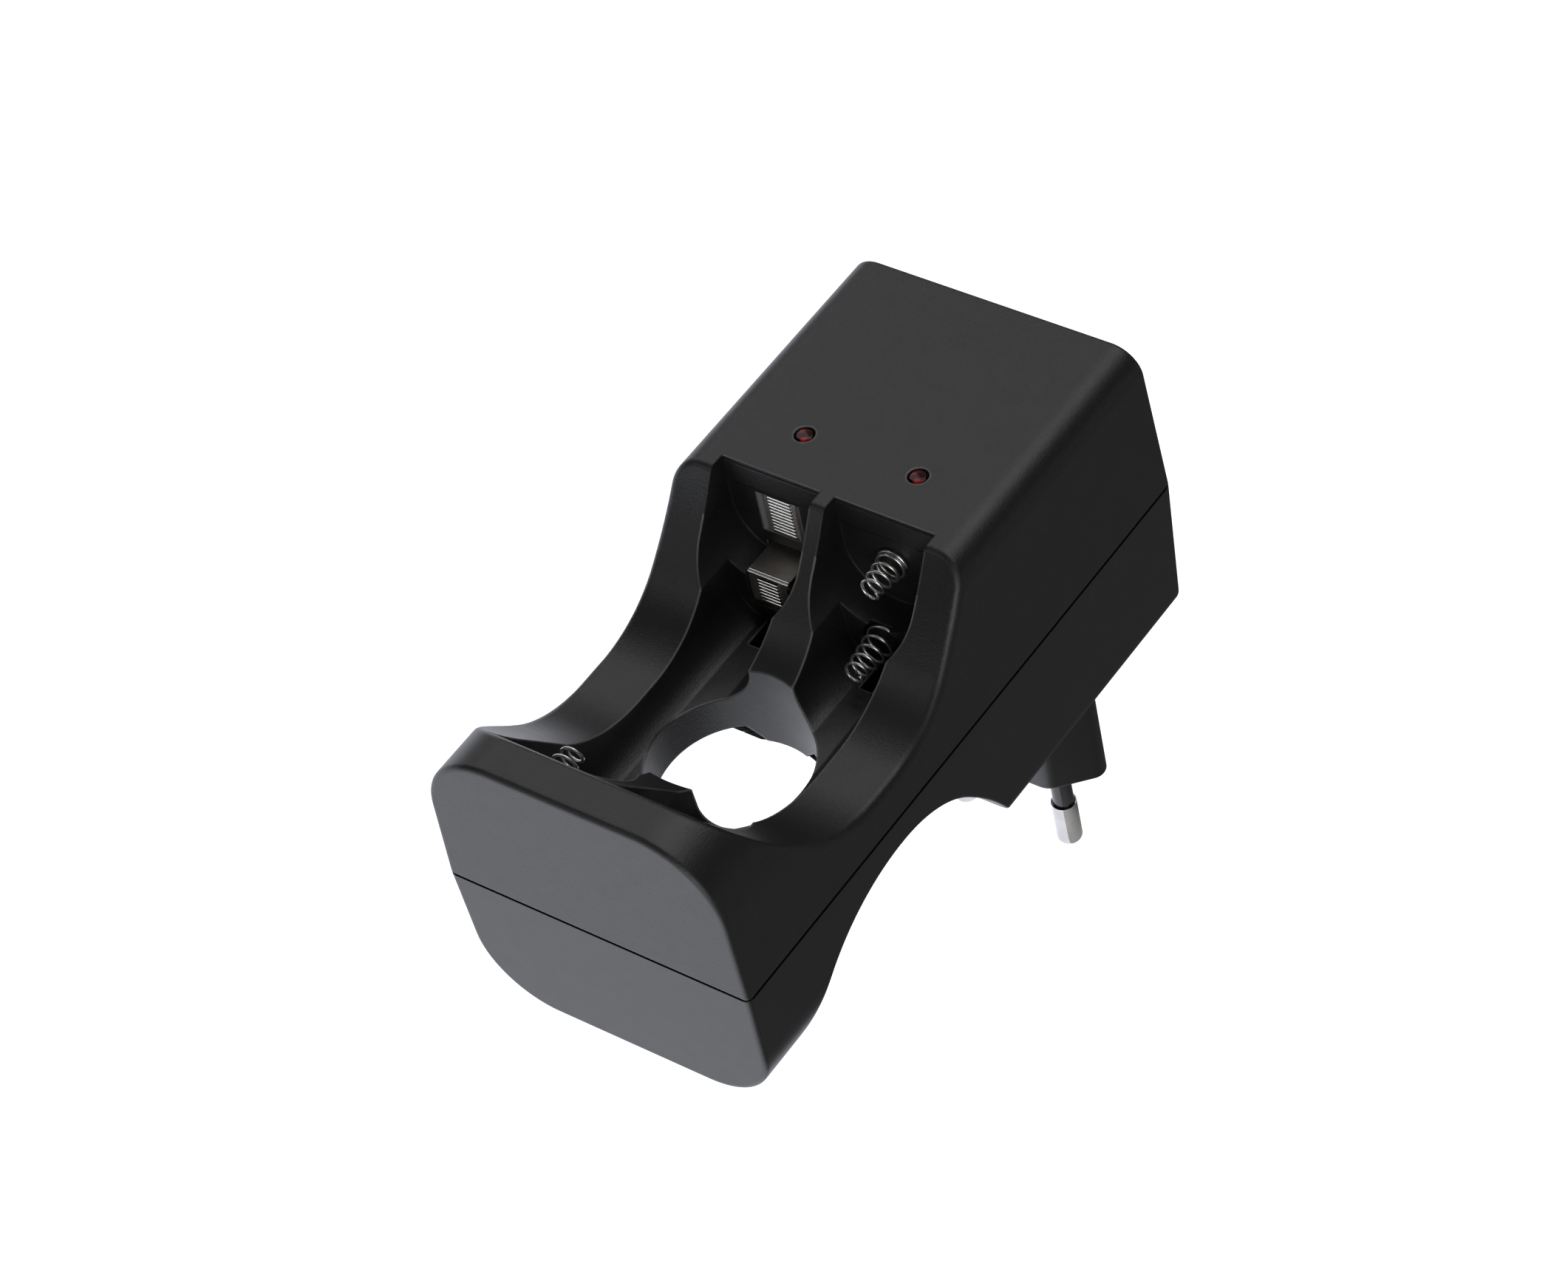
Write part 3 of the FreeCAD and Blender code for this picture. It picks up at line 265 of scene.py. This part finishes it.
grained_black = moulded_plastic("grained_black", 0.42, 0.32 * MM, 0.045 * MM, EDGE_REACH, True)
smooth_black = moulded_plastic("smooth_black", 0.42, 0.3 * MM, 0.004 * MM, EDGE_REACH, True)
gloss_black = moulded_plastic("gloss_black", 0.14, 0.5 * MM, 0.001 * MM, 0.05 * MM, False)
print("plastics:", grained_black.name, smooth_black.name, gloss_black.name)

# %% [markdown]
# ## Metals
#
# Pins, springs and contacts are nickel plated. Nickel is a warm grey mirror
# with fine draw lines and faint blotches where the plating is thinner, so
# both its colour and its roughness vary slightly. On the pins and sheets the
# lines run along the piece, which a noise squeezed along one axis gives. The
# dark finish is painted shade for the gaps between the contacts' ribs, which
# lie in shadow between the bars.

# %% Nickel and zinc
def plated(name, shade, roughness, line, depth, stretch=None):
    """Plated metal, with its fine lines stretched along an axis if asked."""
    material, shader = start_material(name, Metallic=1.0)
    darker = [channel * 0.86 for channel in shade]
    link(material, ramp(material, noise(material, 2.5 * MM, 3.0), darker, shade),
         shader.inputs["Base Color"])
    lines = noise(material, line, 2.0, 0.5, stretch)
    link(material, span(material, lines, roughness * 0.7, roughness * 1.3),
         shader.inputs["Roughness"])
    link(material, bump(material, lines, depth), shader.inputs["Normal"])
    return material


nickel_pin = plated("nickel_pin", (0.57, 0.56, 0.55), 0.12, 0.15 * MM, 0.0002 * MM,
                    (1.0, 1.0, 0.04))
nickel_sheet = plated("nickel_sheet", (0.78, 0.73, 0.68), 0.45, 0.12 * MM, 0.0004 * MM,
                      (0.04, 1.0, 1.0))
nickel_bright = plated("nickel_bright", (0.86, 0.85, 0.83), 0.12, 0.1 * MM, 0.0002 * MM)
# Painted shade: a near-black nickel for the shadowed gaps between ribs.
nickel_painted_shade = plated("nickel_painted_shade", (0.03, 0.028, 0.026), 0.5, 0.12 * MM, 0.0004 * MM)
nickel_wire = plated("nickel_wire", (0.95, 0.93, 0.9), 0.3, 1.0 * MM, 0.0002 * MM)
zinc = plated("zinc", (0.55, 0.56, 0.57), 0.3, 0.2 * MM, 0.001 * MM)
print("metals ready")

# %% [markdown]
# ## Inside the case
#
# Nothing inside shows while the case is shut, yet the part may be opened
# later, so each hidden piece gets the finish of its kind: a brown laminate
# board, a stack of steel sheets, enamelled copper wire, natural nylon, a
# shrunk sleeve and plain insulation. Sheets and turns of wire are stripes
# that repeat along one axis, which a wave texture draws.

# %% Hidden finishes
def tinted(name, low, high, size, roughness, **values):
    """Two close shades in soft patches, on a skin with a slight grain."""
    material, shader = start_material(name, **values)
    patches = noise(material, size, 3.0)
    link(material, ramp(material, patches, low, high), shader.inputs["Base Color"])
    link(material, span(material, patches, roughness * 0.85, roughness * 1.15),
         shader.inputs["Roughness"])
    link(material, bump(material, patches, 0.02 * size), shader.inputs["Normal"])
    return material


def striped(name, low, high, axis, period, roughness, depth, **values):
    """Stripes along one axis: sheets of a core or turns of a coil."""
    material, shader = start_material(name, **values)
    bands = add_node(material, "TexWave", {"bands_direction": axis},
                     Scale=math.tau / 20 / period, Distortion=0.4, Detail=1.0)
    link(material, object_point(material), bands.inputs["Vector"])
    link(material, ramp(material, bands.outputs["Fac"], low, high), shader.inputs["Base Color"])
    link(material, span(material, noise(material, 2 * MM), roughness * 0.8, roughness * 1.2),
         shader.inputs["Roughness"])
    link(material, bump(material, bands.outputs["Fac"], depth), shader.inputs["Normal"])
    return material


board = tinted("board", (0.17, 0.1, 0.045), (0.24, 0.15, 0.07), 0.8 * MM, 0.45)
core_steel = striped("core_steel", (0.12, 0.12, 0.125), (0.3, 0.3, 0.31), "Y", 0.5 * MM, 0.4,
                     0.05 * MM, Metallic=1.0)
copper_wire = striped("copper_wire", (0.2, 0.06, 0.02), (0.5, 0.19, 0.07), "Z", 0.3 * MM, 0.25,
                      0.08 * MM, Metallic=0.6)
nylon = tinted("nylon", (0.6, 0.57, 0.48), (0.7, 0.67, 0.58), 3 * MM, 0.5)
black_body = tinted("black_body", (0.02, 0.02, 0.021), (0.035, 0.035, 0.036), 0.6 * MM, 0.35)
tan_body = tinted("tan_body", (0.5, 0.38, 0.22), (0.62, 0.5, 0.32), 0.9 * MM, 0.35)
blue_sleeve = tinted("blue_sleeve", (0.02, 0.03, 0.1), (0.04, 0.055, 0.16), 2 * MM, 0.3)
brown_lead = tinted("brown_lead", (0.13, 0.05, 0.02), (0.18, 0.075, 0.03), 2 * MM, 0.4)
blue_lead = tinted("blue_lead", (0.02, 0.07, 0.3), (0.03, 0.1, 0.4), 2 * MM, 0.4)
red_lead = tinted("red_lead", (0.38, 0.012, 0.012), (0.5, 0.02, 0.02), 2 * MM, 0.4)
black_lead = tinted("black_lead", (0.018, 0.018, 0.018), (0.03, 0.03, 0.03), 2 * MM, 0.4)
print("hidden finishes ready")

# %% [markdown]
# ## Dressing the solids
#
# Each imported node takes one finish. A list in plain words is easier to check
# against the real object than a rule, and a node without a finish stops the
# lesson here.

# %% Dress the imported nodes
FINISHES = {
    grained_black: ["upper_housing"],
    smooth_black: ["lower_housing", "plug_block"],
    gloss_black: ["pin_sleeve_left", "pin_sleeve_right"],
    nickel_pin: ["plug_pin_left", "plug_pin_right"],
    nickel_sheet: ["aa_contact_rear", "aaa_contact_rear", "contact_strip_front",
                   "spring_strip_front", "spring_strip_rear"],
    nickel_wire: ["aa_spring_rear", "aaa_spring_rear", "aa_spring_front", "aaa_spring_front"],
    nickel_bright: ["transformer_pins"],
    red_lead: ["indicator_left", "indicator_right", "front_lead_right"],
    board: ["circuit_board"],
    core_steel: ["transformer_core"],
    copper_wire: ["primary_winding", "secondary_winding"],
    nylon: ["transformer_bobbin"],
    black_body: ["rectifier_diodes", "transistors"],
    tan_body: ["resistors"],
    blue_sleeve: ["smoothing_capacitor"],
    zinc: ["housing_screws", "board_screws"],
    brown_lead: ["mains_lead_right"],
    blue_lead: ["mains_lead_left"],
    black_lead: ["front_lead_left"],
}
finish_of = {name: finish for finish, names in FINISHES.items() for name in names}
for name, item in nodes.items():
    item.data.materials.clear()
    item.data.materials.append(finish_of[name])
print("dressed nodes:", len(nodes))

# %% [markdown]
# ## Coil springs
#
# Each bay has two conical springs of thin nickel-plated wire. The one for the
# larger cell is closed for a turn at the wall, the other leaves its round seat
# at once, and both close near the tip, where the end is bent inward. Such a
# coil can be swept step by step: the end face of the wire is extruded, turned
# a little round the axis and moved along it. The pitch may then change from
# step to step, which a plain spin can't do.

# %% Spring wire
WIRE_SIDES = 12
TURN_STEPS = 48
WIRE_RADIUS = 0.235 * MM
CLOSED_PITCH = 2.08 * WIRE_RADIUS
# Turns before and after the change at the wall, and how far the tip closes.
OPENING = 0.15
CLOSING = 0.8


def ease(value, low, high):
    """Rises smoothly from 0 at low to 1 at high."""
    share = min(max((value - low) / (high - low), 0.0), 1.0)
    return share * share * (3 - 2 * share)


def openness(turn, turns, closed_turns):
    """How open the coil is at a turn: closed at the wall and at the tip."""
    wall = ease(turn, closed_turns - OPENING, closed_turns + OPENING)
    return wall * (1 - CLOSING * ease(turn, turns - 0.8, turns - 0.3))


print("openness turn by turn:", [round(openness(turn, 5.0, 1.3), 2) for turn in range(6)])

# %% Sweep the wire
TIP_BEND = 0.5 * MM
BEND_STEPS = 6
# The share of the wire over which the coil gets narrower.
TAPER_SHARE = 0.85


def next_ring(shape, end, keep):
    """Extrudes the end face and returns the new ring and the new end face."""
    grown = bmesh.ops.extrude_face_region(shape, geom=end, use_keep_orig=keep)["geom"]
    ring = [item for item in grown if isinstance(item, bmesh.types.BMVert)]
    face = [item for item in grown if isinstance(item, bmesh.types.BMFace)]
    if not keep:
        bmesh.ops.delete(shape, geom=end, context="FACES_ONLY")
    return ring, face


def coil(turns, closed_turns, length, base_radius, tip_radius):
    """Conical coil from the plane Y 0 towards -Y, its wide end first."""
    steps = int(turns * TURN_STEPS)
    weights = [openness((step + 0.5) / TURN_STEPS, turns, closed_turns)
               for step in range(steps)]
    closed = CLOSED_PITCH / TURN_STEPS
    spare = length - 2 * WIRE_RADIUS - closed * steps
    small_turn = Matrix.Rotation(-math.tau / TURN_STEPS, 3, "Y")
    shape = bmesh.new()
    bmesh.ops.create_circle(shape, cap_ends=True, segments=WIRE_SIDES, radius=WIRE_RADIUS)
    bmesh.ops.translate(shape, verts=shape.verts[:], vec=(base_radius, -WIRE_RADIUS, 0.0))
    end = shape.faces[:]
    radius = base_radius
    for step in range(steps):
        ring, end = next_ring(shape, end, step == 0)
        taper = min(step / (TAPER_SHARE * steps), 1.0)
        curl = TIP_BEND * ease(step, steps - BEND_STEPS, steps)
        wanted = base_radius + (tip_radius - base_radius) * taper - curl
        centre = sum((vert.co for vert in ring), Vector()) / len(ring)
        outward = Vector((centre.x, 0.0, centre.z)).normalized()
        drop = closed + spare * weights[step] / sum(weights)
        bmesh.ops.translate(shape, verts=ring,
                            vec=outward * (wanted - radius) - Vector((0, drop, 0)))
        bmesh.ops.rotate(shape, verts=ring, cent=(0, 0, 0), matrix=small_turn)
        radius = wanted
    bmesh.ops.recalc_face_normals(shape, faces=shape.faces[:])
    return shape


trial = coil(5.0, 1.3, 6.4 * MM, 2.4 * MM, 1.5 * MM)
print("faces in one coil:", len(trial.faces))
trial.free()

# %% [markdown]
# A compressed spring keeps its wall end still while its free end moves. The
# coil rides on the case. Its place comes from the solid spring's box. The
# list gives the closed turns at the wall, how much longer and how much lower
# the wire coil is than the simpler solid, and the joint.

# %% Four springs
def as_piece(shape, name, *materials, smooth=True):
    """Turns a bmesh into an object that rides on the case."""
    mesh = bpy.data.meshes.new(name)
    shape.to_mesh(mesh)
    shape.free()
    for material in materials:
        mesh.materials.append(material)
    for face in mesh.polygons:
        face.use_smooth = smooth
    piece = bpy.data.objects.new(name, mesh)
    bpy.context.scene.collection.objects.link(piece)
    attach(piece, "case")
    return piece


TURNS = 5.03
BASE_OUTER = 2.65 * MM
TIP_OUTER = 1.75 * MM
SPRINGS = {"aa_spring_rear": (1.3, 0.0, 0.4 * MM, "aa_rear_compression"),
           "aaa_spring_rear": (0.1, 0.5 * MM, 0.1 * MM, "aaa_rear_compression"),
           "aa_spring_front": (1.3, 0.6 * MM, -0.2 * MM, "aa_front_compression"),
           "aaa_spring_front": (0.1, 0.5 * MM, 0.1 * MM, "aaa_front_compression")}

for node, (closed_turns, longer, lower, joint) in SPRINGS.items():
    low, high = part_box(node)
    middle = (low + high) / 2 - Vector((0, 0, lower))
    length = high.y - low.y + longer
    shape = coil(TURNS, closed_turns, length, BASE_OUTER - WIRE_RADIUS,
                 TIP_OUTER - WIRE_RADIUS)
    wall = high.y
    if node.endswith("front"):
        wall = low.y
        bmesh.ops.rotate(shape, verts=shape.verts[:], cent=(0, 0, 0),
                         matrix=Matrix.Rotation(math.pi, 3, "Z"))
    bmesh.ops.translate(shape, verts=shape.verts[:], vec=(middle.x, wall, middle.z))
    piece = as_piece(shape, node + "_wire", nickel_wire)
    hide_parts(node)
    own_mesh(piece)
    print(node, "length mm", round(length / MM, 2), "at y mm", round(wall / MM, 2))

# %% [markdown]
# ## Contact ribs
#
# The plates that touch the cells carry fine ribs that bite through dirt. Each
# rib is a thin bar with rounded ends, and a thin dark plate behind the bars
# gives the shade between them. Next to the ribs of the large contact the
# sheet is folded forward into a narrow standing flange, and the front edge of
# the small contact's flap is rolled over, which two thinner bars show.

# %% Rib shapes
RIB_PITCH = 0.65 * MM
RIB_RADIUS = 0.22 * MM
RIB_SIDES = 14


def bar(shape, left, right, y, z, radius=RIB_RADIUS):
    """Horizontal bar with rounded ends."""
    along = Matrix.Rotation(math.pi / 2, 4, "Y")
    middle = Matrix.Translation(((left + right) / 2, y, z))
    bmesh.ops.create_cone(shape, segments=RIB_SIDES, radius1=radius, radius2=radius,
                          depth=right - left, matrix=middle @ along)
    for x in (left, right):
        bmesh.ops.create_uvsphere(shape, u_segments=RIB_SIDES, v_segments=8, radius=radius,
                                  matrix=Matrix.Translation((x, y, z)) @ along)


def plate_box(low, high):
    """A box between two corners."""
    shape = bmesh.new()
    size = Vector(high) - Vector(low)
    middle = (Vector(high) + Vector(low)) / 2
    bmesh.ops.create_cube(shape, size=1.0,
                          matrix=Matrix.Translation(middle) @ Matrix.Diagonal((*size, 1.0)))
    return shape


def round_edges(shape, edges, radius, segments):
    """Rounds some edges of a shape."""
    bmesh.ops.bevel(shape, geom=edges, offset=radius, offset_type="OFFSET", segments=segments,
                    affect="EDGES", profile=0.5, material=-1, clamp_overlap=True)


def rib_rows(left, right, face_y, low, high):
    """Bars in front of a thin dark plate, as many as the height takes."""
    shape = plate_box((left - 0.05 * MM, face_y - 0.08 * MM, low),
                      (right + 0.05 * MM, face_y + 0.08 * MM, high))
    for face in shape.faces:
        face.material_index = 1
    count = int(round((high - low) / RIB_PITCH))
    for row in range(count):
        bar(shape, left, right, face_y, low + (row + 0.5) * (high - low) / count)
    return shape


trial = rib_rows(0.0, 4 * MM, 0.0, 0.0, 8 * MM)
print("faces in ribs 8 mm high:", len(trial.faces))
trial.free()

# %% Ribs and flange
RIB_STAND = 0.1 * MM
ROLL_RADIUS = 0.17 * MM
FOLD_WIDTH = 0.45 * MM
FOLD_STAND = 0.35 * MM
INSET = 0.1 * MM


def rib_piece(shape, name):
    """Bright ribs; the plate behind them is dark, painted shade between the bars."""
    return as_piece(shape, name, nickel_bright, nickel_painted_shade)


low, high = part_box("aa_contact_rear")
ribs = rib_rows(low.x + 2.1 * MM, low.x + 5.8 * MM, low.y - RIB_STAND, high.z - 8.7 * MM,
                high.z - 0.9 * MM)
large_ribs = rib_piece(ribs, "aa_contact_ribs")
fold_left = low.x + 6.5 * MM
fold = plate_box((fold_left, low.y - FOLD_STAND, high.z - 8.0 * MM),
                 (fold_left + FOLD_WIDTH, low.y + INSET, high.z - 0.7 * MM))
round_edges(fold, fold.edges[:], 0.18 * MM, 4)
flange = as_piece(fold, "aa_contact_flange", nickel_sheet)

low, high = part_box("aaa_contact_rear")
ribs = rib_rows(low.x + 1.8 * MM, low.x + 5.1 * MM, low.y - RIB_STAND, low.z + 0.5 * MM,
                high.z - 0.75 * MM)
for back, down in ((0.1 * MM, 0.28 * MM), (0.5 * MM, 0.1 * MM)):
    bar(ribs, low.x + INSET, high.x - INSET, low.y + back, high.z - down, ROLL_RADIUS)
small_ribs = rib_piece(ribs, "aaa_contact_ribs")

low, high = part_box("contact_strip_front")
face_y = high.y + RIB_STAND
left, right = low.x + 2.1 * MM, high.x - 2.1 * MM
ribs = rib_rows(left, right, face_y, high.z - 8.2 * MM, high.z - 0.9 * MM)
upper_ribs = rib_piece(ribs, "front_contact_upper_ribs")
ribs = rib_rows(left, right, face_y, high.z - 16.6 * MM, high.z - 12.1 * MM)
lower_ribs = rib_piece(ribs, "front_contact_lower_ribs")

# %% [markdown]
# ## Bay walls
#
# Above the contacts the rear wall of each bay stands forward by a hair, where
# the mould tool has a separate insert. Its top edge catches the light and its
# lower edge is a thin dark line. A slab shows both. Most of its depth is in
# the wall, so that only its real edges count as outer ones.

# %% Insert lines on the rear walls
SLAB_HALF = 8.5 * MM
BAY_MIDDLE = 9.6 * MM
SLAB_STAND = 0.1 * MM
SLAB_SUNK = 1.2 * MM
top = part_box("upper_housing")[1].z
for side, name in ((-1, "bay_wall_left"), (1, "bay_wall_right")):
    middle = side * BAY_MIDDLE
    slab = plate_box((middle - SLAB_HALF, REAR_WALL - SLAB_STAND, top - 4.45 * MM),
                     (middle + SLAB_HALF, REAR_WALL + SLAB_SUNK, top - 0.45 * MM))
    piece = as_piece(slab, name, grained_black, smooth=False)
print("rear wall at mm:", round(REAR_WALL / MM, 2))

# %% [markdown]
# ## Seam
#
# The two shells meet in a narrow groove that goes all round. On the real case
# it is deeper than the solid shows, and light gets lost in it. A band of a
# deep, dull black in the groove, which also covers the rounded lip of the
# lower shell, is painted shade that gives the same dark line. It is a thin
# slab whose upright edges are bevelled like the corners of the case. Without
# its top and bottom it is a ribbon, and solidify gives the ribbon a thickness.

# %% Band in the seam
SEAM_SINK = Vector((0.002, 0.002, 0.0)) * MM
CORNER_RADIUS = 1.0 * MM
BAND_THICKNESS = 0.5 * MM
# Painted shade: a matt near-black for the depth of the seam groove.
seam_shade_black, shader = start_material("seam_shade_black", Roughness=1.0, Specular_IOR_Level=0.0)
link(seam_shade_black, ramp(seam_shade_black, noise(seam_shade_black, 2 * MM), (0.002, 0.002, 0.002),
                      (0.004, 0.004, 0.004)), shader.inputs["Base Color"])
low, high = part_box("upper_housing")
low.z, high.z = SEAM_TOP - SEAM_HEIGHT, SEAM_TOP
band = plate_box(low + SEAM_SINK, high - SEAM_SINK)
upright = [edge for edge in band.edges
           if abs(edge.verts[0].co.z - edge.verts[1].co.z) > SEAM_HEIGHT / 2]
round_edges(band, upright, CORNER_RADIUS, 4)
level = [face for face in band.faces if abs(face.normal.z) > 0.9]
bmesh.ops.delete(band, geom=level, context="FACES_ONLY")
bmesh.ops.solidify(band, geom=band.faces[:], thickness=BAND_THICKNESS)
seam = as_piece(band, "seam_shade_band", seam_shade_black, smooth=False)
print("band size mm:", [round(side / MM, 2) for side in seam.dimensions])

# %% [markdown]
# ## Indicator lamps
#
# Two lamps of clear dark-red resin fill their holes almost flush with the
# top. Inside, a small bright cup holds the light source. When the lamp is
# off, the lens shows a soft reflection over a nearly black depth. The lens is
# one rounded cylinder, the cup is a cone inside it, and the two legs go down
# from it.

# %% Lenses and cups
LENS_RADIUS = 1.5 * MM
LENS_HEIGHT = 5.0 * MM
CROWN_RADIUS = 0.5 * MM
LEG_RADIUS = 0.3 * MM
LEG_OFFSET = 1.27 * MM
clear_red, shader = start_material("clear_red", IOR=1.45, Transmission_Weight=1.0,
                                   Specular_Tint=(0.8, 0.36, 0.38, 1.0))
depth = noise(clear_red, 1.2 * MM, 2.0)
link(clear_red, ramp(clear_red, depth, (0.42, 0.02, 0.024), (0.58, 0.035, 0.04)),
     shader.inputs["Base Color"])
link(clear_red, span(clear_red, depth, 0.03, 0.08), shader.inputs["Roughness"])


def cone_piece(shape, middle, base, top, low_radius, high_radius, segments=48):
    """An upright cone or cylinder between two heights."""
    place = Matrix.Translation((middle.x, middle.y, (base + top) / 2))
    bmesh.ops.create_cone(shape, cap_ends=True, segments=segments, radius1=low_radius,
                          radius2=high_radius, depth=top - base, matrix=place)


for side in ("left", "right"):
    node = "indicator_" + side
    low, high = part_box(node)
    middle = (low + high) / 2
    tip = high.z
    lens = bmesh.new()
    cone_piece(lens, middle, tip - LENS_HEIGHT, tip, LENS_RADIUS, LENS_RADIUS, 64)
    crown = [edge for edge in lens.edges
             if all(abs(vert.co.z - tip) < 0.01 * MM for vert in edge.verts)]
    round_edges(lens, crown, CROWN_RADIUS, 8)
    lens_piece = as_piece(lens, node + "_lens", clear_red)

    inside = bmesh.new()
    cone_piece(inside, middle, tip - 3.6 * MM, tip - 2.2 * MM, 0.5 * MM, 1.0 * MM)
    for step in (-1, 1):
        foot = middle + Vector((step * LEG_OFFSET, 0, 0))
        cone_piece(inside, foot, low.z, tip - 4.8 * MM, LEG_RADIUS, LEG_RADIUS, 16)
    inside_piece = as_piece(inside, node + "_inside", nickel_sheet, smooth=False)
    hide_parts(node)
    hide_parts(node)
    print(node, "top mm", round(tip / MM, 2))

# %% [markdown]
# ## Stage
#
# The photograph has a white ground with no horizon. One wide floor does that:
# it shows white to the camera, to reflections and through clear parts, and
# to everything else it is plain pale paint, so it still takes a soft shadow.
# The floor lies under the pins, the lowest part of the charger.

# %% Floor
def flat_sheet(name, half_x, half_y):
    """A level rectangle around the world origin."""
    shape = bmesh.new()
    bmesh.ops.create_grid(shape, x_segments=1, y_segments=1, size=1.0,
                          matrix=Matrix.Diagonal((half_x, half_y, 1.0, 1.0)))
    mesh = bpy.data.meshes.new(name)
    shape.to_mesh(mesh)
    shape.free()
    item = bpy.data.objects.new(name, mesh)
    bpy.context.scene.collection.objects.link(item)
    return item


FLOOR_GAP = 0.2 * MM
FLOOR_GLOW = (0.905, 0.924, 1.0, 1.0)
floor = flat_sheet("floor", 6.0, 6.0)
floor.location.z = cad_low.z - FLOOR_GAP
floor_paint, shader = start_material("floor_paint", Base_Color=(0.8, 0.8, 0.8, 1.0),
                                     Roughness=0.9, Specular_IOR_Level=0.0)
glow = add_node(floor_paint, "Emission", None, Color=FLOOR_GLOW, Strength=1.4)
ray = add_node(floor_paint, "LightPath")
seen = add_node(floor_paint, "Math", {"operation": "MAXIMUM"})
shown = add_node(floor_paint, "Math", {"operation": "MAXIMUM"})
link(floor_paint, ray.outputs["Is Camera Ray"], seen.inputs[0])
link(floor_paint, ray.outputs["Is Glossy Ray"], seen.inputs[1])
link(floor_paint, seen.outputs[0], shown.inputs[0])
link(floor_paint, ray.outputs["Is Transmission Ray"], shown.inputs[1])
both = add_node(floor_paint, "MixShader")
link(floor_paint, shown.outputs[0], both.inputs["Fac"])
link(floor_paint, shader.outputs[0], both.inputs[1])
link(floor_paint, glow.outputs[0], both.inputs[2])
link(floor_paint, both.outputs[0],
     floor_paint.node_tree.nodes["Material Output"].inputs["Surface"])
floor.data.materials.append(floor_paint)
floor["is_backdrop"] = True
print("floor at mm:", round(floor.location.z / MM, 2))

# %% [markdown]
# ## Light
#
# Black plastic is lit by what it reflects. Large soft boxes stand around the
# charger, most of them high behind it, and give the top its even grey and the
# long edges their soft band. A small one at the front left adds highlights to
# the springs and contacts.

# %% Soft boxes
BOX_AIM = Vector((0.0, -0.04, 0.03))
BOX_AWAY = 1.6


def soft_box(name, around, above, radiance, size):
    """A square lamp of even brightness, at two angles in degrees."""
    lamp = bpy.data.lights.new(name, "AREA")
    lamp.shape = "SQUARE"
    lamp.size = size
    lamp.energy = radiance * math.pi * size ** 2
    box = bpy.data.objects.new(name, lamp)
    bpy.context.scene.collection.objects.link(box)
    lift = Matrix.Rotation(-math.radians(above), 3, "Y")
    out = Matrix.Rotation(math.radians(around), 3, "Z") @ lift @ Vector((1, 0, 0))
    box.location = BOX_AIM + BOX_AWAY * out
    box.rotation_euler = out.to_track_quat("Z", "Y").to_euler()


# Each box: degrees around and above, radiance, side in metres.
BOXES = {"box_front": (300, 12, 2.8, 0.8),
         "box_front_right": (330, 37, 0.7, 0.8),
         "box_rear_right": (60, 62, 1.4, 0.8),
         "box_rear": (90, 62, 0.95, 0.8),
         "box_rear_left_high": (120, 62, 0.62, 0.8),
         "box_rear_left": (120, 37, 0.33, 0.8),
         "box_left": (150, 37, 1.09, 0.8),
         "box_small": (235, 35, 2.6, 0.35)}
for name, values in BOXES.items():
    soft_box(name, *values)

# %% [markdown]
# A dark card on the floor to the right keeps that side dark, as in a studio
# that takes light away instead of adding it. The card works on reflections
# only, so the camera never sees it. Its edge passes the pins, which is why
# they show a crisp border between a bright and a grey half, and a paler patch
# on it gives the grey half its gradient.

# %% Dark card
CARD_TURN = math.radians(16.2)
PATCH_AT = (0.0135, -0.006)
PATCH_RADIUS = 0.014
PATCH_EDGE = (0.13, 0.13, 0.13)
PATCH_MIDDLE = (0.66, 0.66, 0.66)
card = flat_sheet("dark_card", 1.0, 2.0)
card.rotation_euler.z = CARD_TURN
card.location = (0.97, 0.281, floor.location.z + 0.1 * MM)
bpy.context.view_layer.update()
card.visible_camera = False
card.visible_diffuse = False
card.visible_shadow = False
card_paint, shader = start_material("card_paint", Base_Color=(0.0, 0.0, 0.0, 1.0),
                                    Roughness=1.0, Specular_IOR_Level=0.0)
patch = add_node(card_paint, "TexGradient", {"gradient_type": "SPHERICAL"})
patch_place = add_node(card_paint, "Mapping")
patch_place.inputs["Scale"].default_value = [1 / PATCH_RADIUS] * 3
on_card = card.matrix_world.inverted() @ Vector((*PATCH_AT, card.location.z))
patch_place.inputs["Location"].default_value = -on_card / PATCH_RADIUS
link(card_paint, object_point(card_paint), patch_place.inputs["Vector"])
link(card_paint, patch_place.outputs["Vector"], patch.inputs["Vector"])
link(card_paint, ramp(card_paint, patch.outputs["Fac"], PATCH_EDGE, PATCH_MIDDLE, 0.0, 1.0),
     shader.inputs["Emission Color"])
shader.inputs["Emission Strength"].default_value = 1.0
card.data.materials.append(card_paint)
card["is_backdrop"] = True
print("card middle at mm:", [round(value / MM, 1) for value in card.location])

# %% World and view
world = bpy.data.worlds.new("studio")
world.use_nodes = True
world.node_tree.nodes["Background"].inputs["Color"].default_value = (1.0, 1.0, 1.0, 1.0)
world.node_tree.nodes["Background"].inputs["Strength"].default_value = 0.02
bpy.context.scene.world = world
bpy.context.scene.view_settings.view_transform = "Standard"
print("world and view ready:", world.name)

# %% [markdown]
# ## Size of the finished model
#
# The size of the finished model's box is printed as a plain list, like the
# imported model's size at the start.

# %% Print the finished box
low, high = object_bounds()
print("visual box mm:", [round(side / MM, 2) for side in high - low])
